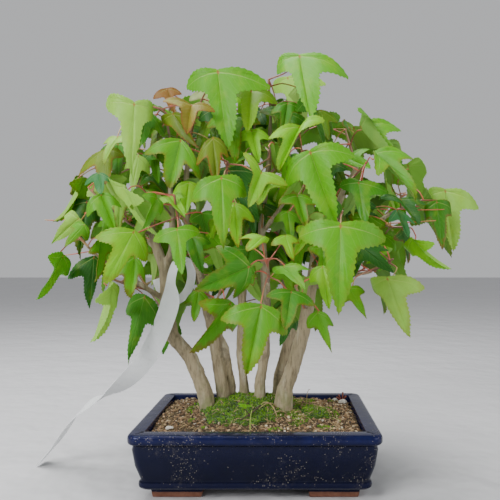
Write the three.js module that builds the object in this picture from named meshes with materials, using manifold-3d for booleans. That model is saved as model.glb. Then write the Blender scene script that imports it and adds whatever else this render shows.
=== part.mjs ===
// A clump-style trident maple bonsai in a glazed rectangular pot, with a loop label tied to it.
// Millimetres, +Z up. The origin is on the table under the middle of the pot, +X to the right
// and +Y to the back, so the tree's front, the side it is composed for, looks along -Y.
import * as THREE from "three";
import { mergeVertices } from "three/addons/utils/BufferGeometryUtils.js";
import Module from "manifold-3d";

const wasm = await Module();
wasm.setup();

// ---- Driving dimensions ----
const potLength = 185; // over the rim, along X
const potDepth = 138; // over the rim, along Y
const potHeight = 50; // table to the rim's top face
const rimCornerRadius = 9;
const rimWidth = 11.5; // flat top of the rim, outside edge to opening
const rimLip = 6.5; // height of the rim's outer band
const footHeight = 8;
const footLength = 39; // along X
const footDepth = 31; // along Y
const footWall = 13; // width of each arm of a corner foot
const footInset = 15; // rim's outside edge to the foot's outside face
const floorThickness = 5;
const drainHoleRadius = 8;
const drainHoleSpacing = 84; // centre to centre
const drainMeshSide = 25;
const drainMeshThickness = 1.2;
const drainMeshHoles = 3; // holes along each side
const clipWireRadius = 0.6;
const clipReach = 11; // each bent end, outward under the floor
const soilBelowRim = 4; // soil's surface at the wall, under the rim's top
const moundRise = 14; // soil's highest point over its level at the wall
const mossThickness = 3;
const labelWidth = 15;
const labelTongueWidth = 7;
const labelThickness = 0.5;
const treeHeight = 338; // table to the topmost leaf
const crownWidth = 356; // over the outermost leaves, along X
const crownDepth = 220;
const bladeThickness = 0.7;
const petioleRadius = 0.62;
const twigRadius = 1.15;
const touchGap = 0.35; // between pieces that touch on the real tree
const leafClearance = 0.5; // least space round a leaf's blade and petiole

// The tree is drawn for these sizes and stretched to the driving ones; what lies lower than
// restZ, the label's end on the table, keeps its height.
const drawn = { potHeight: 50, treeHeight: 338, crownWidth: 356, crownDepth: 220, restZ: 14 };
// The front of the tree is composed for a viewer here: a place across and up on the upright
// plane y = 0 is carried along this viewer's line of sight to its own depth.
const viewer = new THREE.Vector3(21, -469, 172);

const floorTop = footHeight + floorThickness;
const soilEdgeZ = potHeight - soilBelowRim;

// ---- Solids ----
function toSolid(geometry) {
  const bare = geometry.clone();
  bare.deleteAttribute("normal");
  bare.deleteAttribute("uv");
  const merged = mergeVertices(bare, 1e-4);
  return new wasm.Manifold(
    new wasm.Mesh({
      numProp: 3,
      vertProperties: new Float32Array(merged.attributes.position.array),
      triVerts: new Uint32Array(merged.index.array),
    }),
  );
}

// Points that a cut leaves closer together than this are one point.
const pointMerge = 0.01;

function toGeometry(solid) {
  const mesh = solid.simplify(pointMerge).getMesh();
  const position = new Float32Array(mesh.numVert * 3);
  for (let i = 0; i < mesh.numVert; i++)
    position.set(mesh.vertProperties.subarray(i * mesh.numProp, i * mesh.numProp + 3), i * 3);
  const geometry = new THREE.BufferGeometry()
    .setAttribute("position", new THREE.BufferAttribute(position, 3))
    .setIndex(new THREE.BufferAttribute(new Uint32Array(mesh.triVerts), 1));
  const flat = geometry.toNonIndexed();
  flat.computeVertexNormals();
  return flat;
}

// Moves every vertex of a geometry: shape(v) changes the vector in place.
function reshape(geometry, shape) {
  const position = geometry.attributes.position;
  const v = new THREE.Vector3();
  for (let i = 0; i < position.count; i++) {
    shape(v.fromBufferAttribute(position, i));
    position.setXYZ(i, v.x, v.y, v.z);
  }
  return geometry;
}

const largest = (solid) => {
  const bodies = solid.decompose();
  return bodies.reduce((a, b) => (b.volume() > a.volume() ? b : a));
};

const lerp = THREE.MathUtils.lerp;
const degrees = THREE.MathUtils.degToRad;

// A smooth curve whose steps fall on the points it is given, however far apart they lie.
class RouteCurve extends THREE.CatmullRomCurve3 {
  getUtoTmapping(u) {
    return u;
  }
}

// A stem along points, with a radius at each: a regular section is drawn at unit radius along
// the curve and swelled at each step.
function stem(points, radii, { sides = 6, stepsPerSpan = 1, grow = 0 } = {}) {
  const curve = new RouteCurve(points, false, "centripetal");
  const steps = (points.length - 1) * stepsPerSpan;
  const section = new THREE.Shape(
    Array.from({ length: sides }, (_, k) => {
      const angle = (k / sides) * 2 * Math.PI;
      return new THREE.Vector2(Math.cos(angle), Math.sin(angle));
    }),
  );
  const geometry = new THREE.ExtrudeGeometry(section, {
    steps,
    bevelEnabled: false,
    extrudePath: curve,
  });
  const stations = curve.getSpacedPoints(steps);
  const radiusAt = (station) => {
    const before = Math.min(Math.floor(station), radii.length - 2);
    return lerp(radii[before], radii[before + 1], station - before) + grow;
  };
  const swell = stations.map((_, i) => radiusAt(i / stepsPerSpan));
  return toSolid(
    reshape(geometry, (v) => {
      let near = 0;
      stations.forEach((s, i) => {
        if (s.distanceToSquared(v) < stations[near].distanceToSquared(v)) near = i;
      });
      v.sub(stations[near]).multiplyScalar(swell[near]).add(stations[near]);
    }),
  );
}

// ---- Pot ----
function roundedRectangle(halfX, halfY, radius) {
  const shape = new THREE.Shape();
  const corner = (x, y, from) => shape.absarc(x, y, radius, degrees(from), degrees(from + 90));
  corner(halfX - radius, halfY - radius, 0);
  corner(radius - halfX, halfY - radius, 90);
  corner(radius - halfX, radius - halfY, 180);
  corner(halfX - radius, radius - halfY, 270);
  shape.closePath();
  return shape;
}

// A block whose plan follows the rim, pulled in by an inset at each level from the top down.
function terraced(levels, grow = 0) {
  const geometry = new THREE.ExtrudeGeometry(
    roundedRectangle(potLength / 2, potDepth / 2, rimCornerRadius),
    { steps: levels.length - 1, depth: levels.length - 1, bevelEnabled: false, curveSegments: 2 },
  );
  return toSolid(
    reshape(geometry, (v) => {
      const [z, inset] = levels[Math.round(v.z)];
      v.x *= (potLength / 2 - inset + grow) / (potLength / 2);
      v.y *= (potDepth / 2 - inset + grow) / (potDepth / 2);
      v.z = z;
    }),
  );
}

const wallTop = rimWidth;
const wallFoot = rimWidth + 6;
const cavity = (grow = 0, top = potHeight + 5) =>
  terraced(
    [
      [floorTop - grow, wallFoot + 3],
      [floorTop + 4, wallFoot],
      [potHeight - rimLip, wallTop + 1.4],
      [potHeight - 1.4, wallTop],
      [Math.max(top, potHeight), wallTop - 0.9],
    ],
    grow,
  );

function makePot() {
  const outside = terraced([
    [footHeight, 9.2],
    [footHeight + 1, 8.2],
    [footHeight + 6, 8.2],
    [footHeight + 7.2, 10],
    [potHeight - rimLip - 2.5, 3.6],
    [potHeight - rimLip - 0.8, 1.2],
    [potHeight - rimLip + 1, 0],
    [potHeight - 1.6, 0],
    [potHeight - 0.4, 0.7],
    [potHeight, 2],
  ]);
  let pot = outside.subtract(cavity());
  const foot = new THREE.Shape([
    new THREE.Vector2(0, 0),
    new THREE.Vector2(-footLength, 0),
    new THREE.Vector2(-footLength, -footWall),
    new THREE.Vector2(-footWall, -footWall),
    new THREE.Vector2(-footWall, -footDepth),
    new THREE.Vector2(0, -footDepth),
  ]);
  const taper = 0.93;
  for (const sx of [1, -1])
    for (const sy of [1, -1]) {
      const geometry = new THREE.ExtrudeGeometry(foot, {
        depth: footHeight + 1,
        bevelEnabled: false,
      });
      reshape(geometry, (v) => {
        const share = v.z > 0 ? 1 : taper;
        v.x = (v.x + footWall / 2) * share - footWall / 2 + potLength / 2 - footInset;
        v.y = (v.y + footWall / 2) * share - footWall / 2 + potDepth / 2 - footInset;
      });
      pot = pot.add(toSolid(geometry).scale([sx, sy, 1]));
    }
  for (const side of [-1, 1]) {
    const hole = new THREE.CylinderGeometry(drainHoleRadius, drainHoleRadius, 30, 20);
    hole.rotateX(Math.PI / 2).translate((side * drainHoleSpacing) / 2, 0, floorTop);
    pot = pot.subtract(toSolid(hole));
  }
  return pot;
}

// ---- Drainage: a plastic mesh over each hole, held by a bent wire ----
const meshPitch = drainMeshSide / (drainMeshHoles + 1);
const meshHoleSide = meshPitch * 0.72;
const meshBottom = floorTop + touchGap;

function makeDrainMesh(x) {
  const slab = (cx, cy, side, thickness) =>
    toSolid(new THREE.BoxGeometry(side, side, thickness).translate(cx, cy, 0));
  const at = (k) => (k - (drainMeshHoles - 1) / 2) * meshPitch;
  let plate = slab(0, 0, drainMeshSide, drainMeshThickness);
  for (let i = 0; i < drainMeshHoles; i++)
    for (let j = 0; j < drainMeshHoles; j++)
      plate = plate.subtract(slab(at(i), at(j), meshHoleSide, 2 * drainMeshThickness));
  return plate.translate([x, 0, meshBottom + drainMeshThickness / 2]);
}

function makeClip(x) {
  const leg = meshPitch; // through the outer holes of the middle row
  const over = meshBottom + drainMeshThickness + touchGap + clipWireRadius;
  const under = footHeight - touchGap - clipWireRadius;
  const route = [
    [-leg - clipReach, under],
    [-leg - 1.5, under],
    [-leg, under + 1.5],
    [-leg, over - 1.2],
    [-leg + 1.2, over],
    [leg - 1.2, over],
    [leg, over - 1.2],
    [leg, under + 1.5],
    [leg + 1.5, under],
    [leg + clipReach, under],
  ].map(([dx, z]) => new THREE.Vector3(x + dx, 0, z));
  return stem(route, route.map(() => clipWireRadius), { sides: 5 });
}

// ---- Soil, moss and what lies on them ----
// Height of the soil over the table: level at the walls, mounded round the trunks.
const soilAt = (x, y) =>
  soilEdgeZ +
  moundRise * Math.exp(-(((x + 6) / 50) ** 2) - ((y - 6) / 36) ** 2) +
  0.5 * Math.sin(x / 7 + y / 11) * Math.cos(y / 6);

function soilBlock(lift) {
  const geometry = new THREE.BoxGeometry(potLength, potDepth, 2, 10, 8, 1);
  reshape(geometry, (v) => {
    v.z = v.z > 0 ? soilAt(v.x, v.y) + lift : floorTop - 10;
  });
  return toSolid(geometry);
}

function makeSoil(cutters) {
  let soil = soilBlock(0).intersect(cavity(-touchGap));
  const pocket = drainMeshThickness + 2 * clipWireRadius + 3 * touchGap;
  for (const side of [-1, 1]) {
    const clear = drainMeshSide + 2 * touchGap;
    const geometry = new THREE.BoxGeometry(clear, clear, 2 * pocket);
    geometry.translate((side * drainHoleSpacing) / 2, 0, floorTop);
    soil = soil.subtract(toSolid(geometry));
  }
  for (const cutter of cutters) soil = soil.subtract(cutter);
  return largest(soil);
}

// A cushion of moss that follows the soil's surface, with a wavy outline.
function makeMoss({ x, y, halfX, halfY, turn }, cutters) {
  const geometry = new THREE.SphereGeometry(1, 14, 6);
  geometry.rotateX(Math.PI / 2);
  reshape(geometry, (v) => {
    const angle = Math.atan2(v.y, v.x);
    const wave = 1 + 0.11 * Math.sin(3 * angle + turn) + 0.07 * Math.sin(5 * angle + 2 * turn);
    const px = x + v.x * halfX * wave;
    const py = y + v.y * halfY * wave;
    v.set(px, py, soilAt(px, py) + (v.z > 0 ? mossThickness : 1) * v.z);
  });
  let moss = toSolid(geometry).subtract(groundLifted);
  for (const cutter of cutters) moss = moss.subtract(cutter);
  return largest(moss);
}

function makeStone({ x, y, size, turn }) {
  const geometry = new THREE.IcosahedronGeometry(1, 1);
  reshape(geometry, (v) => {
    const lump = 1 + 0.12 * Math.sin(5 * v.x + turn) + 0.1 * Math.cos(4 * v.y - turn);
    v.multiplyScalar(lump * size);
    v.set(v.x * 1.15 + x, v.y * 0.9 + y, v.z * 0.75 + soilAt(x, y) + size * 0.35);
  });
  return toSolid(geometry).subtract(groundLifted);
}

// ---- Crown ----
function stretchUp(z) {
  if (z < drawn.restZ) return z;
  const { mapLinear } = THREE.MathUtils;
  return z < drawn.potHeight
    ? mapLinear(z, drawn.restZ, drawn.potHeight, drawn.restZ, potHeight)
    : mapLinear(z, drawn.potHeight, drawn.treeHeight, potHeight, treeHeight);
}

// A drawn place, stretched to the driving sizes.
const stretched = ({ x, y, z }) =>
  new THREE.Vector3(
    (x * crownWidth) / drawn.crownWidth,
    (y * crownDepth) / drawn.crownDepth,
    stretchUp(z),
  );

// A place in the crown: across and up as the viewer sees it, and its depth.
function place([across, up, depth]) {
  const carry = 1 + depth / -viewer.y;
  return stretched({
    x: viewer.x + (across - viewer.x) * carry,
    y: depth,
    z: viewer.z + (up - viewer.z) * carry,
  });
}

// Each trunk with its branches: places from the root up, and a radius at each.
const trunks = {
  trunk_1: [
    {
      points: [[-42, 50, -3], [-45, 66, -3], [-57, 95, -4], [-72, 113, -6], [-77, 142, -6],
        [-78, 167, -5], [-86, 190, -4], [-96, 222, -2], [-103, 250, 0]],
      radii: [7.4, 6.2, 6.1, 5.7, 5.2, 4.6, 3.8, 2.6, 1.7],
    },
    { points: [[-78, 167, -5], [-72, 186, -8], [-72, 212, -12], [-74, 245, -16], [-72, 270, -18]],
      radii: [3.2, 2.9, 2.4, 1.8, 1.4] },
    { points: [[-77, 142, -6], [-90, 150, -16], [-108, 161, -28], [-120, 168, -34]],
      radii: [2.8, 2.3, 1.8, 1.4] },
    { points: [[-84, 184, -4], [-96, 196, 18], [-116, 210, 38]], radii: [2.5, 1.9, 1.3] },
  ],
  trunk_2: [
    {
      points: [[-28, 50, 8], [-30.5, 66, 8], [-34, 93, 8], [-38, 116, 8], [-44, 142, 6],
        [-52, 172, 2], [-60, 206, -2], [-60, 244, -4], [-58, 274, -4]],
      radii: [5.8, 5.3, 5.2, 5, 4.4, 3.8, 3, 2.2, 1.4],
    },
    { points: [[-22.5, 50, 17], [-23.5, 75, 15], [-28, 102, 11], [-38, 122, 8]],
      radii: [4, 3.6, 3.4, 3] },
    { points: [[-45, 146, 6], [-50, 166, -24], [-60, 190, -46], [-67, 210, -58]],
      radii: [2.5, 2.1, 1.7, 1.3] },
    { points: [[-51, 168, 3], [-56, 190, 30], [-61, 212, 54]], radii: [2.4, 1.8, 1.3] },
  ],
  trunk_3: [
    {
      points: [[-11, 50, 13], [-12.5, 75, 14], [-15, 97, 14], [-14.5, 135, 14], [-10, 180, 12],
        [-8, 225, 8], [-5, 262, 2], [-4, 286, 0]],
      radii: [4.6, 4, 3.7, 3.4, 3, 2.4, 1.8, 1.2],
    },
    { points: [[-11, 176, 12], [-20, 204, -22], [-26, 230, -40]], radii: [1.9, 1.6, 1.2] },
  ],
  trunk_4: [
    {
      points: [[1, 50, 2], [1, 76, 3], [5, 97, 4], [6, 140, 2], [4, 179, -2], [2, 205, -6],
        [6, 235, -8], [9, 268, -10], [10, 300, -12]],
      radii: [5.6, 4.3, 4, 3.6, 3.2, 2.8, 2.2, 1.6, 1.2],
    },
    { points: [[6, 134, 2], [8, 146, -28], [8, 157, -56]], radii: [2, 1.6, 1.2] },
    { points: [[3, 198, -5], [20, 222, -28], [33, 246, -40]], radii: [1.9, 1.5, 1.1] },
  ],
  trunk_5: [
    {
      points: [[15, 50, 24], [17, 80, 22], [27, 117, 20], [24, 150, 18], [16, 204, 16],
        [18, 235, 14], [24, 260, 12]],
      radii: [6, 4.7, 4.4, 4, 3, 2, 1.3],
    },
    { points: [[24, 152, 18], [20, 184, 44], [16, 212, 64]], radii: [2.2, 1.7, 1.2] },
  ],
  trunk_6: [
    {
      points: [[20, 50, -6], [22, 69, -6], [30, 91, -7], [37, 117, -8], [43, 150, -8],
        [47, 180, -8], [58, 204, -10], [72, 236, -14], [82, 254, -15]],
      radii: [8.4, 6.2, 5.8, 5.4, 4.8, 4, 3.2, 2.4, 1.5],
    },
    { points: [[49, 184, -8], [70, 196, 4], [98, 207, 8], [114, 217, 6]],
      radii: [3, 2.5, 2, 1.5] },
    { points: [[45, 164, -8], [57, 182, -40], [65, 202, -68]], radii: [2.3, 1.7, 1.2] },
    { points: [[43, 152, -8], [68, 161, -24], [94, 166, -32]], radii: [2.1, 1.7, 1.2] },
    { points: [[47, 178, -8], [58, 204, 34], [70, 230, 56]], radii: [2.3, 1.8, 1.2] },
  ],
};

// Leafy shoots: the twig that each one's petioles spring from. It starts inside its branch.
const twigs = {
  shoot_left_low: [[-117, 167, -33], [-137, 181, -40], [-150, 196, -44]],
  shoot_left_under: [[-92, 151, -17], [-112, 156, -34], [-127, 162, -44]],
  shoot_left_middle: [[-88, 196, -4], [-108, 206, -20], [-130, 224, -28], [-142, 236, -30]],
  shoot_left_back: [[-114, 209, 36], [-134, 224, 44], [-148, 240, 48]],
  shoot_left_top: [[-102, 246, 0], [-108, 268, -6], [-112, 288, -8], [-114, 302, -8]],
  shoot_knob_top: [[-72, 267, -18], [-76, 288, -22], [-74, 304, -24]],
  shoot_knob_front: [[-72, 212, -12], [-82, 224, -32], [-94, 232, -48]],
  shoot_second_top: [[-58, 271, -4], [-54, 292, -10], [-47, 310, -14]],
  shoot_red_runner: [[-59, 262, -4], [-66, 288, -26], [-82, 302, -34], [-100, 305, -38]],
  shoot_front_left: [[-66, 207, -56], [-69, 219, -64], [-70, 230, -68]],
  shoot_middle_top: [[-4, 283, 0], [-2, 304, -4], [-2, 320, -6]],
  shoot_middle_front: [[-25, 227, -38], [-27, 244, -50], [-26, 258, -56]],
  shoot_leader_top: [[10, 296, -12], [9, 312, -16], [8, 326, -18]],
  shoot_leader_front: [[7, 240, -8], [10, 256, -28], [9, 270, -42]],
  shoot_middle_right: [[32, 243, -39], [35, 256, -44], [36, 268, -48]],
  shoot_low_front: [[8, 155, -52], [8, 166, -68], [7, 177, -78]],
  shoot_low_right: [[40, 134, -8], [36, 144, -34], [30, 154, -54]],
  shoot_low_left: [[-41, 128, 7], [-36, 140, -18], [-31, 152, -42]],
  shoot_right_front: [[64, 199, -65], [67, 209, -78], [70, 217, -86]],
  shoot_right_low: [[91, 166, -31], [104, 171, -40], [112, 177, -46]],
  shoot_right_middle: [[75, 241, -14], [83, 249, -38], [90, 257, -52]],
  shoot_right_top: [[81, 251, -15], [77, 268, -14], [72, 284, -12]],
  shoot_right_far: [[112, 216, 6], [126, 222, 4], [137, 226, 0]],
  shoot_right_far_low: [[98, 207, 8], [112, 203, -12], [124, 203, -22]],
  shoot_back_left: [[-60, 209, 51], [-70, 232, 64], [-76, 252, 70]],
  shoot_back_left_low: [[-74, 124, -6], [-88, 146, 28], [-102, 166, 54]],
  shoot_back_low: [[-15, 136, 14], [-18, 152, 46], [-22, 162, 70]],
  shoot_back_middle: [[16, 209, 61], [12, 236, 74], [8, 256, 80]],
  shoot_back_right: [[69, 227, 54], [80, 250, 66], [88, 266, 70]],
  shoot_back_right_low: [[43, 152, -8], [66, 160, 32], [88, 168, 56]],
  shoot_back_top_left: [[-60, 248, -4], [-52, 266, 26], [-46, 284, 46]],
  shoot_back_top_right: [[8, 246, -8], [24, 264, 22], [36, 284, 44]],
  shoot_back_far_right: [[99, 207, 8], [112, 220, 36], [122, 232, 52]],
  shoot_back_top: [[-5, 266, 2], [-12, 288, 24], [-16, 304, 40]],
};

// Front leaves, as the viewer sees them. Each row holds the places, across and up, of the
// blade's hub, its tip, its left lobe and its right lobe; the hub's depth; the lean, in degrees,
// that brings the tip forward; and which lobe stands forward: -1 left, 1 right, 0 neither.
const frontLeaves = [
  [-103.5, 305, -107, 247, -127, 305, -88, 296, -52, 8, 0],
  [-92, 299, -99, 271, -112, 288, -78, 278, -30, 20, 0],
  [-71, 297, -52, 268, -80, 290, -52, 290, -36, 15, 1],
  [-65, 275, -75, 236, -95, 264, -48, 243, -58, 12, -1],
  [-128, 267, -127, 238, -150, 246, -112, 262, -20, 30, -1],
  [-117, 272, -117, 243, -134, 262, -100, 265, -6, 22, 0],
  [-147, 243, -165, 205, -158, 240, -141, 226, -26, 10, -1],
  [-133, 248, -131, 230, -145, 238, -121, 240, -46, 25, 0],
  [-110, 236, -88, 190, -123, 242, -96, 226, -66, 6, 1],
  [-85, 227, -95, 202, -97, 230, -82, 212, -74, 20, -1],
  [-56, 304, -60, 282, -80, 308, -36, 299, -50, 30, 0],
  [-76, 318, -70, 298, -88, 310, -64, 314, -18, 15, 0],
  [-46, 316, -36, 299, -58, 308, -32, 314, 4, 15, 0],
  [-34, 332, -27, 271, -60, 319, 10, 319, -34, 16, 0],
  [-39, 300, -34, 272, -50, 292, -24, 290, -14, 15, 0],
  [-12, 314, -15, 290, -24, 306, -2, 302, 6, 15, 0],
  [34, 345, 43, 297, 15, 331, 75, 327, -30, 34, 0],
  [24, 327, 35, 290, 12, 316, 56, 322, 6, 18, 1],
  [24, 306, 20, 280, 10, 298, 36, 298, -34, 18, 0],
  [34, 286, 16, 251, 8, 277, 55, 291, -58, 16, 1],
  [-6, 283, 0, 258, -18, 274, 10, 276, -32, 18, 0],
  [2, 248, -8, 221, -13, 265, 24, 238, -76, 24, -1],
  [43, 265, 63, 206, 23, 238, 80, 263, -74, 14, 1],
  [35, 262, 22, 240, 22, 258, 44, 250, -40, 20, 0],
  [-38, 277, -35, 239, -52, 255, -25, 262, -62, 14, 0],
  [-31, 244, -29, 187, -57, 225, -10, 230, -84, 14, 0],
  [-25, 250, 0, 207, -34, 236, 2, 246, -52, 12, 0],
  [-20, 222, -18, 186, -32, 210, -3, 208, -58, 16, 0],
  [85, 286, 119, 248, 83, 300, 118, 284, -36, 24, -1],
  [96, 264, 133, 229, 98, 246, 128, 260, -62, 22, -1],
  [83, 240, 88, 205, 67, 237, 108, 232, -70, 16, 0],
  [75, 260, 93, 252, 70, 250, 92, 268, -24, 40, 0],
  [62, 256, 72, 236, 52, 246, 80, 250, -4, 20, 0],
  [118, 226, 134, 206, 101, 227, 139, 222, -8, 30, 0],
  [155, 233, 162, 183, 140, 226, 183, 219, 20, 14, 0],
  [148, 224, 153, 184, 138, 210, 160, 214, 4, 16, 0],
  [128, 194, 157, 165, 126, 182, 146, 190, -30, 12, 1],
  [115, 217, 125, 195, 108, 208, 130, 206, -42, 12, -1],
  [68, 204, 67, 131, 33, 196, 106, 193, -98, 10, 0],
  [85, 187, 112, 165, 82, 172, 108, 184, -56, 22, 0],
  [107, 160, 124, 110, 94, 154, 138, 153, -62, 10, 1],
  [76, 152, 90, 128, 68, 140, 88, 150, -46, 20, 0],
  [53, 170, 58, 135, 42, 158, 70, 156, -72, 14, 0],
  [49, 132, 61, 99, 40, 120, 62, 122, -58, 12, 0],
  [-163, 179, -182, 141, -175, 179, -158, 164, -50, 8, -1],
  [-150, 210, -173, 190, -160, 214, -148, 196, -38, 20, 0],
  [-145, 205, -162, 187, -156, 204, -142, 192, -56, 18, 0],
  [-143, 224, -151, 177, -156, 214, -132, 208, -14, 12, 0],
  [-131, 230, -120, 200, -143, 212, -114, 220, -52, 18, 0],
  [-115, 229, -117, 200, -127, 216, -104, 218, -30, 18, 0],
  [-104, 199, -128, 155, -136, 195, -93, 175, -74, 12, 0],
  [-124, 208, -128, 190, -134, 204, -116, 200, -16, 20, 0],
  [-130, 195, -134, 157, -142, 182, -120, 182, -62, 10, -1],
  [-137, 178, -141, 136, -159, 161, -126, 164, -30, 14, 0],
  [-124, 157, -134, 106, -136, 142, -122, 138, -58, 8, -1],
  [-103, 178, -107, 144, -124, 158, -94, 157, -46, 16, 0],
  [-95, 145, -111, 88, -110, 135, -82, 122, -30, 10, 0],
  [-68, 201, -64, 164, -88, 192, -49, 199, -86, 20, 0],
  [-55, 195, -47, 165, -66, 182, -40, 190, -54, 16, 0],
  [-8, 170, -53, 150, -35, 188, -20, 144, -84, 18, 0],
  [-24, 140, -56, 97, -50, 141, -20, 118, -60, 14, -1],
  [2, 137, -9.5, 79.5, -32, 127, 24, 115, -86, 12, 0],
  [27, 149, 22, 117, 6, 146, 47, 138, -76, 22, 0],
  [21, 170, 38, 152, 12, 165, 42, 168, -92, 30, 0],
  [22, 196, 29, 175, 10, 188, 34, 190, -70, 20, 0],
  [3, 195, -10, 182, -17, 193, 7, 190, -94, 40, 0],
  [32, 229, 40, 203, 16, 223, 48, 222, -64, 18, 0],
  [24, 216, 27, 192, 12, 208, 38, 206, -34, 18, 0],
  [27, 130, 18, 104, 12, 120, 32, 118, -42, 14, 0],
  [-50, 150, -54, 124, -62, 140, -40, 138, -14, 16, 0],
  [-74, 128, -80, 97, -86, 116, -64, 114, 18, 14, 0],
  [-88, 268, -84, 240, -98, 256, -74, 256, -10, 18, 0],
  [-100, 262, -106, 232, -112, 252, -90, 248, -26, 18, 0],
  [52, 300, 58, 276, 42, 292, 66, 290, 10, 18, 0],
  [-58, 240, -62, 212, -72, 230, -48, 228, -36, 18, 0],
  [-36, 212, -44, 184, -50, 202, -28, 200, -40, 18, 0],
  [58, 226, 50, 196, 46, 216, 70, 214, -44, 18, 0],
  [104, 196, 100, 166, 90, 186, 114, 184, 0, 18, 0],
  [-8, 226, -4, 196, -18, 214, 6, 214, -14, 18, 0],
];

// Back leaves by rule: spread evenly over the back of an egg-shaped crown.
const backLeafCount = 40;
const crownMiddle = new THREE.Vector3(-2, 4, 232);
const crownRadii = new THREE.Vector3(146, 84, 92);
const backLeafLength = 50;

// Top leaves by rule: a sunflower spread over the crown's flat top.
const topLeafCount = 16;
const topReach = new THREE.Vector2(92, 40);
const topMiddle = new THREE.Vector3(-8, 20, 292);

// The blade's outline in shares of its length: [towards its lobe, along the midrib], the lobe's
// own point being [1, 0]. The same outline is used on both sides of the midrib.
const sinus = [0.3, 0.27];
const shoulder = [0.42, -0.16];
const lobeShare = 0.58; // length of a side lobe over the blade's own
const heel = -0.035; // where the blade starts, behind the hub
const petioleFoot = [0.045, 0.055]; // where the petiole enters the underside, beside the midrib

// How far a lobe stands off the viewer's plane, from its real length and how long it looks.
const standOff = (length, seen) => Math.sqrt(Math.max(0, length ** 2 - seen ** 2));

function frontBlade([hx, hz, tx, tz, lx, lz, rx, rz, depth, lean, forward], shift) {
  const y = depth + shift;
  const seen = Math.hypot(tx - hx, tz - hz);
  const length = seen / Math.cos(degrees(lean));
  const hub = place([hx, hz, y]);
  const tip = place([tx, tz, y - seen * Math.tan(degrees(lean))]);
  const lobe = (x, z, side) => {
    const look = Math.hypot(x - hx, z - hz);
    const off = Math.min(standOff(lobeShare * length, look), 0.45 * length);
    const sign = forward === side ? -1 : 1;
    return place([x, z, y + sign * off * (forward === 0 ? 0.5 : 1)]);
  };
  return { hub, tip, lobes: [lobe(lx, lz, -1), lobe(rx, rz, 1)], face: viewer };
}

const golden = Math.PI * (3 - Math.sqrt(5));
const swingPace = 1.7; // how fast the hanging leaves' swing changes from one to the next

// A leaf that hangs from a place on the crown: out is the crown's own direction there.
function hangingBlade(drawnHub, out, size, index) {
  const side = new THREE.Vector3(-out.y, out.x, 0).normalize();
  const along = new THREE.Vector3(out.x * 0.42, out.y * 0.42, -0.86)
    .addScaledVector(side, 0.35 * Math.sin(index * swingPace))
    .normalize();
  const across = side.clone().addScaledVector(along, -side.dot(along)).normalize();
  const reach = size * lobeShare;
  const lobe = (sign) =>
    stretched(
      drawnHub
        .clone()
        .addScaledVector(across, sign * reach * 0.94)
        .addScaledVector(along, reach * (0.22 + 0.12 * sign * Math.sin(index)))
        .addScaledVector(out, -reach * 0.12),
    );
  const hub = stretched(drawnHub);
  return {
    hub,
    tip: stretched(drawnHub.clone().addScaledVector(along, size)),
    lobes: [lobe(-1), lobe(1)],
    face: hub.clone().addScaledVector(out, 400).setZ(hub.z + 160),
  };
}

function backBlade(index, shift) {
  const up = 1 - (2 * (index + 0.5)) / backLeafCount;
  const spread = Math.sqrt(1 - up * up);
  const turn = index * golden;
  const out = new THREE.Vector3(
    spread * Math.cos(turn),
    Math.abs(spread * Math.sin(turn)) * 0.9 + 0.12,
    up * 0.92,
  ).normalize();
  const hub = out.clone().multiply(crownRadii).add(crownMiddle);
  hub.y += shift;
  const size = backLeafLength * (0.84 + 0.3 * Math.abs(Math.sin(index * 2.3)));
  return hangingBlade(hub, out, size, index);
}

function topBlade(index, shift) {
  const share = Math.sqrt((index + 0.5) / topLeafCount);
  const turn = index * golden;
  const out = new THREE.Vector3(Math.cos(turn), Math.sin(turn), 0.35).normalize();
  const hub = new THREE.Vector3(
    topMiddle.x + topReach.x * share * Math.cos(turn),
    topMiddle.y + topReach.y * share * Math.sin(turn) + shift,
    topMiddle.z + 22 * (1 - share * share) - 6 * Math.abs(Math.sin(3 * index)),
  );
  return hangingBlade(hub, out, 0.8 * backLeafLength, index);
}

// The blade's solid: a flat drum of eight sides, each corner of its rim drawn out to a point
// of the outline, so its upper face is a fan about the hub.
function bladeSolid({ hub, tip, lobes, face }) {
  const midrib = tip.clone().sub(hub);
  const length = midrib.length();
  let right = lobes[1].clone().sub(hub);
  let left = lobes[0].clone().sub(hub);
  const normal = new THREE.Vector3().crossVectors(right.clone().sub(left), midrib).normalize();
  if (normal.dot(face.clone().sub(hub)) < 0) {
    normal.negate();
    [right, left] = [left, right];
  }
  const outline = (side, [towards, along], lift) =>
    hub
      .clone()
      .addScaledVector(side, towards)
      .addScaledVector(midrib, along)
      .addScaledVector(normal, lift * length);
  const rim = [
    outline(midrib, [heel, 0], -0.02),
    outline(right, shoulder, -0.03),
    outline(right, [1, 0], 0),
    outline(right, sinus, -0.012),
    tip,
    outline(left, sinus, -0.012),
    outline(left, [1, 0], 0),
    outline(left, shoulder, -0.03),
  ];
  // Underneath, the fan's middle lies behind the hub, which leaves room for the petiole.
  const underHub = outline(midrib, [heel / 2, 0], -0.01);
  const drum = new THREE.CylinderGeometry(1, 1, 2, rim.length);
  reshape(drum, (v) => {
    const upper = v.y > 0;
    const corner = Math.round((Math.atan2(v.x, v.z) / (2 * Math.PI)) * rim.length + rim.length);
    const centre = upper ? hub : underHub;
    const target = Math.hypot(v.x, v.z) < 0.5 ? centre : rim[corner % rim.length];
    v.copy(target).addScaledVector(normal, upper ? 0 : -bladeThickness);
  });
  // The petiole enters squarely to the right half of the underside, however steep it is folded.
  const square = new THREE.Vector3().crossVectors(right, midrib).normalize();
  const depth = 0.55 * bladeThickness * square.dot(normal);
  const foot = outline(right, petioleFoot, -0.002).addScaledVector(square, -depth);
  return { solid: toSolid(drum), square, midrib: midrib.normalize(), foot };
}

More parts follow.
